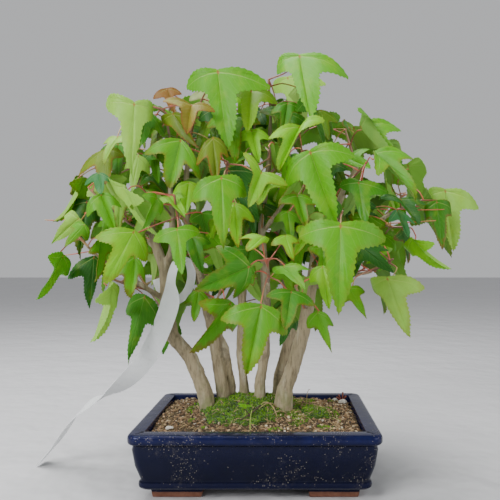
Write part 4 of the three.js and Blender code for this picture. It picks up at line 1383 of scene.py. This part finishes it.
class LeafShape:
    """The blade, modelled once: an outline with teeth, and rings of faces round the hub.

    Each point is held as (side, towards, ahead): which half it is in, and its shares of the way
    towards that half's lobe and along the midrib.
    """

    half_outline: tuple[tuple[float, float], ...] = (
        (0.0, -0.035),
        (0.08, -0.06),
        (0.25, -0.085),
        (0.5, -0.115),
        (0.75, -0.105),
        (0.9, -0.07),
        (1.0, 0.0),
        (0.92, 0.06),
        (0.75, 0.135),
        (0.5, 0.19),
        (0.355, 0.235),
        (0.295, 0.275),
        (0.275, 0.33),
        (0.268, 0.45),
        (0.248, 0.6),
        (0.203, 0.74),
        (0.13, 0.86),
        (0.052, 0.95),
        (0.0, 1.0),
    )
    rings: tuple[float, ...] = (0.22, 0.45, 0.68, 0.87, 1.0)
    samples: int = 54
    tooth: float = 0.0145
    spread: float = 0.58
    thickness: float = 0.3 * MM

    def __init__(self) -> None:
        """Models the outline and its rings."""
        half = self.sampled_half()
        right = [(1.0, b, a) for b, a in half]
        left = [(-1.0, b, a) for b, a in reversed(half[1:-1])]
        outline = np.array(right + left)
        self.count = len(outline)
        rows = [np.array([[1.0, 0.0, 0.0]])]
        for share in self.rings:
            ring = outline.copy()
            ring[:, 1:] *= share
            rows.append(ring)
        self.chart = np.vstack(rows)
        shares = [0.0] + [share for share in self.rings for _ in range(self.count)]
        self.margin = np.clip((np.array(shares) - 0.45) / 0.55, 0, 1)
        self.faces = self.make_faces()

    def sampled_half(self) -> list[tuple[float, float]]:
        """Samples the half outline evenly and cuts teeth in it.

        Returns:
            The half outline, as pairs of shares.
        """
        control = np.array(self.half_outline) * (self.spread, 1.0)
        lobe = int(np.argmax(control[:, 0]))
        fixed = {0, lobe, len(control) - 1}
        rounded = [
            p if i in fixed else 0.25 * control[i - 1] + 0.5 * p + 0.25 * control[i + 1]
            for i, p in enumerate(control)
        ]
        control = np.array(rounded) * 0.6 + control * 0.4
        run = np.concatenate([[0], np.cumsum(np.linalg.norm(np.diff(control, axis=0), axis=1))])
        at = np.linspace(0, run[-1], self.samples)
        at[np.argmin(np.abs(at - run[lobe]))] = run[lobe]
        points = np.column_stack([np.interp(at, run, control[:, 0]), np.interp(at, run, control[:, 1])])
        along = np.gradient(points, axis=0)
        outward = np.column_stack([along[:, 1], -along[:, 0]])
        outward /= np.linalg.norm(outward, axis=1, keepdims=True)
        steps = np.arange(self.samples)
        uneven = 0.65 + 0.5 * np.abs(np.sin(steps * 2.4))
        teeth = np.where(steps % 2 == 1, self.tooth, -0.4 * self.tooth) * uneven
        teeth[at < 0.16] *= 0.3
        teeth[[0, -1]] = 0
        points += outward * teeth[:, None]
        points[[0, -1], 0] = 0
        return [(float(x) / self.spread, float(y)) for x, y in points]

    def make_faces(self) -> list[list[int]]:
        """Faces of the upper skin, about the hub.

        Returns:
            The faces, turning the same way round.
        """
        n = self.count
        faces = [[0, 1 + i, 1 + (i + 1) % n] for i in range(n)]
        for ring in range(len(self.rings) - 1):
            inner, outer = 1 + ring * n, 1 + (ring + 1) * n
            for i in range(n):
                j = (i + 1) % n
                faces.append([inner + i, outer + i, outer + j, inner + j])
        return faces

    def laid(self, blade: Blade, rng: random.Random) -> np.ndarray:
        """Lays the shape on a leaf's place.

        Args:
            blade: The leaf's place.
            rng: Gives each leaf its own curl.

        Returns:
            The upper skin's points, in metres.
        """
        side, towards, ahead = self.chart.T
        hub, mid = np.array(blade.hub), np.array(blade.tip - blade.hub)
        size = blade.length
        arms = {s: np.array(blade.lobes[0 if s > 0 else 1] - blade.hub) for s in (1.0, -1.0)}
        up = np.array(blade.normal)
        normals = {}
        for s, arm in arms.items():
            n = np.cross(arm, mid)
            n = n / max(np.linalg.norm(n), 1e-9)
            normals[s] = n if n @ up > 0 else -n
        arm = np.where(side[:, None] > 0, arms[1.0], arms[-1.0])
        own = np.where(side[:, None] > 0, normals[1.0], normals[-1.0])
        open_ = np.clip(towards / 0.28, 0, 1)[:, None]
        normal = own * open_ + up * (1 - open_)
        points = hub + towards[:, None] * arm + ahead[:, None] * mid
        # The fold is rounded at the midrib, the halves belly between the veins, and edges ripple.
        arch = rng.uniform(0.05, 0.12)
        fold = rng.uniform(-0.02, 0.10)
        tip_curl = rng.uniform(-0.06, 0.16)
        ripple, phase = rng.uniform(0.010, 0.024), rng.uniform(0, 6.28)
        reach = np.hypot(towards * self.spread, ahead)
        belly = arch * np.sin(np.clip(towards, 0, 1) * math.pi) * (1 - ahead * 0.5)
        rim = np.clip(reach, 0, 1) ** 2
        wave = ripple * np.sin(9 * ahead + 7 * side * towards + phase) * rim
        curl = -tip_curl * np.clip(ahead, 0, 1) ** 2 * np.clip(ahead - 0.2, 0, 1) * 1.2
        furrow = -0.012 * np.exp(-((towards / 0.05) ** 2)) * np.clip(ahead * 4, 0, 1)
        trough = np.clip(towards / 0.3, 0, 1) - np.clip(towards, 0, 1)
        valley = fold * trough * np.clip(ahead * 2 + 0.4, 0, 1)
        lift = (belly + wave + curl + furrow + valley) * size
        return points + normal * lift[:, None]


@dataclass
class Foliage:
    """The leafy shoots: for each, its twig with petioles, and its blades."""

    seed: int = 7
    petiole_thickness: float = 1.26 * MM
    fatten: float = 0.06 * MM
    bare_petioles: tuple[tuple[tuple[float, float, float], tuple[float, float, float]], ...] = (
        ((-148, -8, 206), (-172, -14, 208)),
        ((-136, -8, 182), (-160, -14, 179)),
        ((97, -14, 204), (142, -20, 207)),
        ((116, -4, 216), (152, -8, 217)),
    )
    filler_seed: int = 23
    filler_count: int = 190
    from_bark: float = 0.22
    crown_heart: tuple[float, float, float] = (0.0, 10 * MM, 225 * MM)
    crown_radii: tuple[float, float, float] = (152 * MM, 92 * MM, 95 * MM)
    label_loop: tuple[float, float, float] = (-61 * MM, -10 * MM, 168 * MM)
    stalk: Stalk = field(default_factory=Stalk)
    blade_thickness: float = 0.7 * MM
    heel_share: float = 0.0403
    heel_behind: float = 0.035
    shape: LeafShape = field(default_factory=LeafShape)
    twig_places: list[Vector] = field(default_factory=list)

    def find_blades(self, mesh: bmesh.types.BMesh) -> list[tuple[Blade, list[Vector]]]:
        """Finds each leaf's place in a shoot: a fan of faces about its hub.

        Args:
            mesh: The shoot's merged mesh.

        Returns:
            Each leaf's place, with the corners of its frame solid.
        """
        found = []
        for hub in mesh.verts:
            faces = hub.link_faces
            if not 8 <= len(faces) <= 11:
                continue
            ring = self.ring_round(hub)
            if ring is None:
                continue
            reach = [(v.co - hub.co).length for v in ring]
            start = max(range(len(ring)), key=lambda i: reach[i])
            ring, reach = ring[start:] + ring[:start], reach[start:] + reach[:start]
            last = min(range(len(ring)), key=lambda i: reach[i])
            if abs(reach[last] / reach[0] - self.heel_share) > 0.0008 or not 3 <= last <= len(ring) - 3:
                continue
            tip = ring[0].co
            near = max(range(1, last), key=lambda i: reach[i])
            far = max(range(last + 1, len(ring)), key=lambda i: reach[i])
            if min(reach[near], reach[far]) < 0.3 * reach[0] or max(reach[near], reach[far]) > 0.9 * reach[0]:
                continue
            behind = (ring[last].co - hub.co).dot(tip - hub.co) / reach[0] ** 2
            if abs(behind + self.heel_behind) > 0.0008:
                continue
            lobes = (ring[near].co.copy(), ring[far].co.copy())
            normal = (lobes[0] - lobes[1]).cross(tip - hub.co).normalized()
            looks = sum((f.normal for f in faces), Vector())
            if normal.dot(looks) < 0:
                normal.negate()
            length = (tip - hub.co).length
            corners = [hub.co.copy()] + [v.co.copy() for v in ring]
            corners += [v.co - normal * self.blade_thickness for v in ring]
            under = hub.co - (tip - hub.co) * 0.0175 - normal * (0.01 * length + self.blade_thickness)
            corners.append(under)
            found.append((Blade(hub.co.copy(), tip.copy(), lobes, normal), corners))
        return found

    def ring_round(self, hub: bmesh.types.BMVert) -> Optional[list[bmesh.types.BMVert]]:
        """The vertices round a hub, in order, or None if they aren't one ring."""
        following = {}
        for face in hub.link_faces:
            loop = next(l for l in face.loops if l.vert == hub)
            following[loop.link_loop_next.vert] = loop.link_loop_prev.vert
        ring = [next(iter(following))]
        while len(ring) < len(hub.link_faces):
            ahead = following.get(ring[-1])
            if ahead is None or ahead in ring:
                return None
            ring.append(ahead)
        return ring if following.get(ring[-1]) == ring[0] else None

    def make_stems(self, node: str) -> list[Blade]:
        """Makes a shoot's twig and petioles, and finds where its leaves are.

        Args:
            node: The shoot's frame node.

        Returns:
            The leaves' places.
        """
        stems = carried_copy(node, node + "_stems")
        with editing(stems) as mesh:
            found = self.find_blades(mesh)
            keyed = {self.key(corner) for _, corners in found for corner in corners}
            bpy.ops.mesh.select_mode(type="FACE")
            for face in mesh.faces:
                if any(self.is_corner(v.co, keyed) for v in face.verts):
                    face.select_set(True)
            bmesh.update_edit_mesh(stems.data)
            bpy.ops.mesh.delete(type="FACE")
            bpy.ops.mesh.select_all(action="SELECT")
            bpy.ops.mesh.fill_holes(sides=0)
            bpy.ops.mesh.select_all(action="SELECT")
            bpy.ops.transform.shrink_fatten(value=self.fatten)
        self.paint_wood(stems)
        finish_with(stems, "SUBSURF", subdivision_type="SIMPLE", levels=2, render_levels=2)
        finish_with(stems, "SMOOTH", factor=0.5, iterations=4)
        roughen(stems, 0.12 * MM, 3 * MM, len(found))
        smooth(stems, 80)
        hand_over(stems, RedPetiole().material(), [node])
        return [blade for blade, _ in found]

    @staticmethod
    def key(place: Vector) -> tuple[int, int, int]:
        """A place rounded to two hundredths of a millimetre."""
        return tuple(int(round(c / (0.02 * MM))) for c in place)

    def is_corner(self, place: Vector, keyed: set[tuple[int, int, int]]) -> bool:
        """Whether a vertex is one of the blades' corners, to within rounding."""
        own = self.key(place)
        return any(
            (own[0] + i, own[1] + j, own[2] + k) in keyed
            for i in (-1, 0, 1)
            for j in (-1, 0, 1)
            for k in (-1, 0, 1)
        )

    def paint_wood(self, stems: bpy.types.Object) -> None:
        """Paints how woody each vertex is: the twig is, for it is thicker than a petiole.

        Args:
            stems: A shoot's twig with its petioles.
        """
        mesh = bmesh.new()
        mesh.from_mesh(stems.data)
        bmesh.ops.recalc_face_normals(mesh, faces=mesh.faces)
        mesh.normal_update()
        tree = BVHTree.FromBMesh(mesh)
        thick = np.full(len(mesh.verts), self.petiole_thickness)
        for v in mesh.verts:
            inward = -v.normal
            _, _, _, through = tree.ray_cast(v.co + inward * 0.05 * MM, inward, 6 * MM)
            if through is not None:
                thick[v.index] = through
        links = [[e.other_vert(v).index for e in v.link_edges] for v in mesh.verts]
        mesh.free()
        woody = np.clip((thick - self.petiole_thickness) / (0.15 * MM), 0, 1)
        for _ in range(2):
            woody = np.array(
                [
                    0.4 * woody[i] + 0.6 * woody[near].mean() if near else woody[i]
                    for i, near in enumerate(links)
                ]
            )
        paint(stems, "woody", woody)
        self.twig_places = [v.co.copy() for v in stems.data.vertices if woody[v.index] > 0.7]

    def tone_of(self, blade: Blade, rng: random.Random) -> tuple[np.ndarray, float]:
        """A leaf's tint and how dry its points are.

        Args:
            blade: The leaf's place.
            rng: Varies the tint.

        Returns:
            The tint and the dryness.
        """
        across, up = blade.seen()
        nearest = min(NOTES, key=lambda n: math.hypot(n.across - across, n.up - up))
        vary = 1 + 0.18 * (rng.random() - 0.5)
        if blade.hub.y < 40 * MM and math.hypot(nearest.across - across, nearest.up - up) < 3.0:
            return np.array(nearest.tone.value) * vary, nearest.dry
        # Leaves further back that face forward get darker tones: painted shade inside the crown.
        inside = blade.hub.y > -20 * MM and blade.normal.y < 0
        outer = [LeafTone.FRESH, LeafTone.MIDDLE, LeafTone.BRIGHT, LeafTone.BRIGHT, LeafTone.FRESH]
        if blade.hub.x < -85 * MM:
            outer = [LeafTone.BRIGHT, LeafTone.LIME, LeafTone.FRESH, LeafTone.BRIGHT]
        choices = [LeafTone.DARK, LeafTone.MIDDLE, LeafTone.FRESH] if inside else outer
        tone = np.array(rng.choice(choices).value)
        if blade.hub.z > 285 * MM and rng.random() < 0.4:
            tone = tone * 0.5 + np.array(LeafTone.OLIVE.value) * 0.6
        return tone * vary, rng.choice([0, 0, 0.4, 0.8])

    def make_blades(self, name: str, blades: Sequence[Blade]) -> None:
        """Makes a shoot's blades, in one piece.

        Args:
            name: The piece's name.
            blades: The leaves' places.
        """
        rng = random.Random(self.seed + len(name) * 13 + len(blades))
        shape = self.shape
        skin = len(shape.chart)
        rim = [skin - shape.count + i for i in range(shape.count)]
        points, faces, tints, dry, upper, margin, charts = [], [], [], [], [], [], []
        for number, blade in enumerate(blades):
            top = shape.laid(blade, rng)
            flip = self.turns_down(top, shape.faces, blade)
            own = [list(reversed(f)) for f in shape.faces] if flip else shape.faces
            lower = top - self.skin_normals(top, own) * shape.thickness
            first = number * skin * 2
            points += [top, lower]
            faces += [[first + i for i in f] for f in own]
            faces += [[first + skin + i for i in reversed(f)] for f in own]
            for i in range(shape.count):
                a, b = rim[i], rim[(i + 1) % shape.count]
                quad = [first + a, first + skin + a, first + skin + b, first + b]
                faces.append(list(reversed(quad)) if flip else quad)
            tint, dryness = self.tone_of(blade, rng)
            tints.append(np.tile(np.clip(tint, 0, 1), (skin * 2, 1)))
            dry.append(np.full(skin * 2, float(dryness)))
            upper += [np.ones(skin), np.zeros(skin)]
            margin += [shape.margin, shape.margin]
            chart = np.column_stack([shape.chart[:, 0] * shape.chart[:, 1], shape.chart[:, 2]])
            charts += [chart, chart]
        piece = new_piece(name, np.vstack(points), faces)
        paint(piece, "tint", np.vstack(tints))
        paint(piece, "dry", np.concatenate(dry))
        paint(piece, "upper", np.concatenate(upper))
        paint(piece, "rim", np.concatenate(margin))
        layer = piece.data.uv_layers.new(name="blade")
        corners = np.empty(len(piece.data.loops), int)
        piece.data.loops.foreach_get("vertex_index", corners)
        layer.data.foreach_set("uv", np.vstack(charts)[corners].astype(np.float32).ravel())
        smooth(piece, 50)
        hand_over(piece, MapleLeaf().material())

    @staticmethod
    def turns_down(top: np.ndarray, faces: Sequence[Sequence[int]], blade: Blade) -> bool:
        """Whether the faces, as listed, look away from the blade's upper side."""
        a, b, c = (top[[f[i] for f in faces[:20]]] for i in range(3))
        looks = np.cross(b - a, c - a).sum(0)
        return float(looks @ np.array(blade.normal)) < 0

    @staticmethod
    def skin_normals(points: np.ndarray, faces: Sequence[Sequence[int]]) -> np.ndarray:
        """The skin's normal at each point."""
        normals = np.zeros_like(points)
        for corner in (3, 4):
            group = np.array([f for f in faces if len(f) == corner])
            a, b, c = (points[group[:, i]] for i in range(3))
            cross = np.cross(b - a, c - a)
            for i in range(corner):
                np.add.at(normals, group[:, i], cross)
        return normals / np.maximum(np.linalg.norm(normals, axis=1, keepdims=True), 1e-12)

    def filler(self, start: Vector, rng: random.Random) -> tuple[Blade, list[Vector]]:
        """A small inner leaf on its petiole.

        Args:
            start: Where its petiole leaves the twig.
            rng: Varies the leaf.

        Returns:
            The leaf's place and its petiole's path.
        """
        inward = (Vector(self.crown_heart) - start) * (1 / (60 * MM))
        stray = Vector((rng.gauss(0, 0.7), rng.gauss(0.55, 0.6), rng.gauss(0.15, 0.5)))
        out = (inward * 0.45 + stray).normalized()
        hub = start + out * rng.uniform(11, 24) * MM
        size = rng.uniform(21, 34) * MM
        level = min(max((start.z - 225 * MM) / (70 * MM), 0), 1)
        spread = Vector((out.x * (0.6 + 0.6 * level), out.y * (0.4 + level) - 0.15, -1.0 + 0.72 * level))
        hang = (spread + Vector([rng.gauss(0, 0.3) for _ in range(3)])).normalized()
        face = Vector(
            (
                rng.gauss(0, 0.45),
                -1 if rng.random() < 0.75 else 0.8,
                0.75 + 1.6 * level + rng.gauss(0, 0.3),
            )
        )
        normal = (face - hang * face.dot(hang)).normalized()
        side = hang.cross(normal).normalized()
        lobes = tuple(
            hub + (side * sign * 0.94 + hang * 0.26 - normal * 0.12) * 0.56 * size for sign in (1, -1)
        )
        blade = Blade(hub, hub + hang * size, lobes, normal)
        path = [
            start,
            start.lerp(hub, 0.5) + Vector((0, 0, 4 * MM)),
            hub + Vector((0, 0, 2 * MM)) * 0.6,
            hub - normal * 0.15 * MM,
        ]
        return blade, path

    def hides_label(self, place: Vector) -> bool:
        """Whether a place lies before the label's loop or beside it."""
        off = place - Vector(self.label_loop)
        return abs(off.x) < 25 * MM and abs(off.z) < 36 * MM and off.y < 30 * MM

    def in_crown(self, place: Vector) -> bool:
        """Whether a place lies in the body of the crown."""
        off = place - Vector(self.crown_heart)
        return sum((c / r) ** 2 for c, r in zip(off, self.crown_radii)) < 1

    def make_fillers(self, starts: Sequence[Vector], bark: Sequence[Vector]) -> None:
        """Fills the inside of the crown with small leaves.

        Args:
            starts: Places on the twigs to choose from.
            bark: Places high on the trunks, where a few leaves start too.
        """
        rng = random.Random(self.filler_seed)
        blades, paths = [], []
        for _ in range(self.filler_count * 20):
            if len(blades) == self.filler_count:
                break
            start = rng.choice(bark if rng.random() < self.from_bark else starts)
            if any((start - used[0]).length < 7 * MM for used in paths):
                continue
            blade, path = self.filler(start, rng)
            lowest = min(blade.tip.z, blade.hub.z)
            if lowest < 128 * MM or not (self.in_crown(blade.hub) and self.in_crown(blade.tip)):
                continue
            if self.hides_label(blade.hub) or self.hides_label(blade.tip):
                continue
            if any((blade.hub - other.hub).length < 11 * MM for other in blades):
                continue
            blades.append(blade)
            paths.append(path)
        for inner, outer in self.bare_petioles:
            near = Vector(inner) * MM
            start = min(starts, key=lambda place: (place - near).length)
            paths.append([start, start.lerp(near, 0.6) + Vector((0, 0, 3 * MM)), near, Vector(outer) * MM])
        for number in range(3):
            self.make_blades(f"inner_blades_{number + 1}", blades[number::3])
        stalks = self.stalk.bunch("inner_petioles", paths, [(0.55 * MM, 0.36 * MM)] * len(paths))
        paint(stalks, "woody", np.zeros(len(stalks.data.vertices)))
        hand_over(stalks, RedPetiole().material())

    def make(self, bark: Sequence[Vector]) -> None:
        """Makes every shoot, then the inner leaves.

        Args:
            bark: Places high on the trunks.
        """
        total = 0
        starts: list[Vector] = []
        for node in sorted(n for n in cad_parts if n.startswith("shoot_")):
            blades = self.make_stems(node)
            starts += self.twig_places
            total += len(blades)
            if blades:
                self.make_blades(node.replace("shoot", "blades"), blades)
        LOG.info("leaves: %d", total)
        self.make_fillers(starts, bark)


# ---------------------------------------------------------------- litter on the soil


@dataclass
class Litter:
    """What lies on the soil: dry needles, roots, a stick, a grass blade, a seedling, dry buds."""

    seed: int = 77
    needle_count: int = 260
    edge_height: float = 44 * MM
    half_length: float = 74 * MM
    half_depth: float = 51 * MM

    def rest_on(self, planting: Planting, x: float, y: float, rise: float) -> Vector:
        """A place over the soil or the moss.

        Args:
            planting: The pot's filling.
            x: Across, in millimetres.
            y: Deep, in millimetres.
            rise: How far over the surface, in millimetres.

        Returns:
            The place, in metres.
        """
        ground, _ = planting.drop(planting.surface, x * MM, y * MM)
        moss, _ = planting.drop(planting.moss_surface, x * MM, y * MM)
        height = max((p.z for p in (ground, moss) if p is not None), default=self.edge_height)
        return Vector((x * MM, y * MM, height + rise * MM))

    def strew_needles(self, planting: Planting, stalk: Stalk) -> None:
        """Strews short dry needles over the soil.

        Args:
            planting: The pot's filling.
            stalk: The stalk that they are laid from.
        """
        rng = random.Random(self.seed)
        paths, radii = [], []
        for _ in range(self.needle_count):
            x = rng.uniform(-1, 1) * self.half_length / MM
            y = rng.uniform(-1, 1) * self.half_depth / MM
            turn, half = rng.uniform(0, 6.28), rng.uniform(1.4, 4.2)
            reach = (half * math.cos(turn), half * math.sin(turn))
            a = self.rest_on(planting, x - reach[0], y - reach[1], rng.uniform(0.1, 0.9))
            b = self.rest_on(planting, x + reach[0], y + reach[1], rng.uniform(0.1, 2.6))
            if abs(a.x) > self.half_length or abs(b.x) > self.half_length or abs(b.z - a.z) > 5 * MM:
                continue
            bow = (a + b) / 2 + Vector((rng.gauss(0, 0.8), rng.gauss(0, 0.8), rng.uniform(0.3, 1.8))) * MM
            paths.append([a, bow, b])
            thick = rng.uniform(0.16, 0.36) * MM
            radii.append((thick, thick * 0.6))
        needles = stalk.bunch("dry_needles", paths, radii)
        hand_over(needles, DRY_STALK.material())

    def make(self, planting: Planting) -> None:
        """Makes the litter.

        Args:
            planting: The pot's filling, which it rests on.
        """
        stalk = Stalk()
        self.strew_needles(planting, stalk)
        place = partial(self.rest_on, planting)
        roots = stalk.bunch(
            "bare_roots",
            [
                [place(2, -12, -1), place(5, -16, 7), place(13, -20, 9), place(16, -26, -1)],
                [place(18, -8, -1), place(13, -14, 7), place(6, -17, 5), place(1, -20, 0)],
                [place(24, -16, 0), place(17, -20, 5), place(12, -26, 0)],
                [place(-52, -8, 0), place(-50, -12, 13), place(-46, -14, -1)],
                [place(56, -20, 0), place(60, -26, 9), place(66, -30, 1)],
                [place(40, 10, 0), place(40, 6, 17), place(43, 4, 14)],
            ],
            [
                (0.5 * MM, 0.35 * MM),
                (0.45 * MM, 0.3 * MM),
                (0.4 * MM, 0.3 * MM),
                *[(0.34 * MM, 0.2 * MM)] * 3,
            ],
        )
        hand_over(roots, DRY_STALK.material())
        stick = stalk.bunch(
            "dark_stick",
            [
                [place(-12, -34, 0), place(-4, -32, 3), place(3, -30, 10)],
                [place(-5, -33, 1.5), place(-8, -32, 6), place(-11, -31, 7)],
            ],
            [(0.8 * MM, 0.6 * MM), (0.5 * MM, 0.35 * MM)],
        )
        hand_over(stick, DARK_STICK.material())
        grass = stalk.bunch(
            "grass_blades",
            [
                [place(-4, -47, -1), place(-5, -47, 8), place(-3, -46, 15)],
                [place(-9, -30, 0), place(-9, -31, 5), place(-8.5, -31, 7.5)],
            ],
            [(0.6 * MM, 0.3 * MM), (0.5 * MM, 0.45 * MM)],
        )
        hand_over(grass, GREEN_STALK.material())
        buds = stalk.bunch(
            "dry_buds",
            [
                [place(74, 46, -1), place(74 + dx * 0.5, 46 + dy * 0.5, 4), place(74 + dx, 46 + dy, rise)]
                for dx, dy, rise in ((3, -2, 6), (-3, 1, 7), (1, 2, 9), (-5, -1, 4), (4, 2, 5))
            ],
            [(0.35 * MM, 0.8 * MM)] * 5,
        )
        hand_over(buds, RED_BUD.material())
        top = self.rest_on(planting, -8.5, -31, 7.4)
        seedling = []
        for turn in (-0.5, 2.3, 3.6):
            ahead = Vector((math.cos(turn), -0.4 + 0.5 * math.sin(turn), 0.25)).normalized()
            side = ahead.cross(Vector((0, -0.5, 1))).normalized()
            up = side.cross(ahead).normalized()
            size = 6.5 * MM
            lobes = tuple(top + (ahead * 0.5 + side * sign) * 0.42 * size for sign in (1, -1))
            seedling.append(Blade(top, top + ahead * size, lobes, up if up.z > 0 else -up))
        Foliage().make_blades("seedling_blades", seedling)


# ---------------------------------------------------------------- label and drain parts


@dataclass
class LoopLabel:
    """The blank plastic label that is tied round a trunk."""

    node: str = "label_strip"

    def make(self) -> None:
        """Makes the label from its frame node, with crisp edges on a smooth run."""
        label = carried_copy(self.node, "label_film_strip")
        with editing(label):
            bpy.ops.mesh.select_all(action="SELECT")
            bpy.ops.mesh.tris_convert_to_quads(
                face_threshold=math.radians(60), shape_threshold=math.radians(80)
            )
            sharp = math.radians(60)
            select_where(
                label, "EDGE", lambda e: len(e.link_faces) == 2 and e.calc_face_angle(0) > sharp
            )
            bpy.ops.transform.edge_crease(value=1)
        finish_with(label, "SUBSURF", levels=2, render_levels=2)
        smooth(label, 40)
        hand_over(label, LabelFilm().material(), [self.node])


@dataclass
class DrainParts:
    """The plastic meshes over the drain holes and the wires that hold them."""

    meshes: tuple[str, ...] = ("drain_mesh_left", "drain_mesh_right")
    clips: tuple[str, ...] = ("mesh_clip_left", "mesh_clip_right")

    def make(self) -> None:
        """Gives the carried nodes their finishes."""
        for names, finish in ((self.meshes, MESH_PLASTIC), (self.clips, SOFT_WIRE)):
            for name in names:
                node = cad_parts[name]
                node.data.materials.clear()
                node.data.materials.append(finish.material())
                LOG.info("%s: carried over", name)


# ---------------------------------------------------------------- studio


@dataclass
class Studio:
    """The pale floor, the soft lights and the camera."""

    focal: float = 40.6
    shift: tuple[float, float] = (-0.068, 0.029)

    def make_light(self, name: str, place: Sequence[float], size: float, power: float) -> None:
        """Adds a square soft light that looks at the tree.

        Args:
            name: The light's name.
            place: Where it stands, in metres.
            size: Its side, in metres.
            power: Its power, in watts.
        """
        lamp = bpy.data.lights.new(name, "AREA")
        lamp.size = size
        lamp.energy = power
        light = bpy.data.objects.new(name, lamp)
        light.location = place
        light.rotation_euler = (Vector((0, 0, 0.16)) - Vector(place)).to_track_quat("-Z", "Y").to_euler()
        bpy.context.scene.collection.objects.link(light)

    def make_floor(self) -> None:
        """Lays the floor, a flat plane 14 metres square."""
        bpy.ops.object.select_all(action="DESELECT")
        bpy.ops.mesh.primitive_plane_add(size=14, location=(0, 0, 0))
        floor = bpy.context.object
        floor.name = "floor"
        finish = PlainMatter("floor_paint", (0.56, 0.56, 0.57), (0.54, 0.54, 0.55), 0.2, 0.6)
        floor.data.materials.append(finish.material())

    def make(self) -> None:
        """Makes the studio."""
        self.make_floor()
        world = bpy.data.worlds.new("studio")
        world.use_nodes = True
        sky = world.node_tree.nodes["Background"]
        sky.inputs[0].default_value = (0.86, 0.87, 0.89, 1)
        sky.inputs[1].default_value = 0.6
        bpy.context.scene.world = world
        self.make_light("overhead", (-0.25, 0.1, 1.15), 0.8, 17)
        self.make_light("front_left", (-0.9, -1.0, 0.85), 0.7, 20)
        self.make_light("front_right", (1.0, -0.7, 0.5), 0.7, 5)
        eye = bpy.data.cameras.new("eye")
        eye.lens = self.focal
        eye.sensor_width = 36
        eye.shift_x, eye.shift_y = self.shift
        camera = bpy.data.objects.new("eye", eye)
        camera.location = VIEWER
        camera.rotation_euler = (math.radians(90), 0, 0)
        bpy.context.scene.collection.objects.link(camera)
        bpy.context.scene.camera = camera


def main() -> None:
    """Builds every part of the plant in order, then the studio round it."""
    GlazedPot().make()
    planting = Planting()
    planting.make()
    trunks = Trunks()
    trunks.make()
    Foliage().make(trunks.places)
    Litter().make(planting)
    LoopLabel().make()
    DrainParts().make()
    Studio().make()
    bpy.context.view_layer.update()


if __name__ == "__main__":
    main()
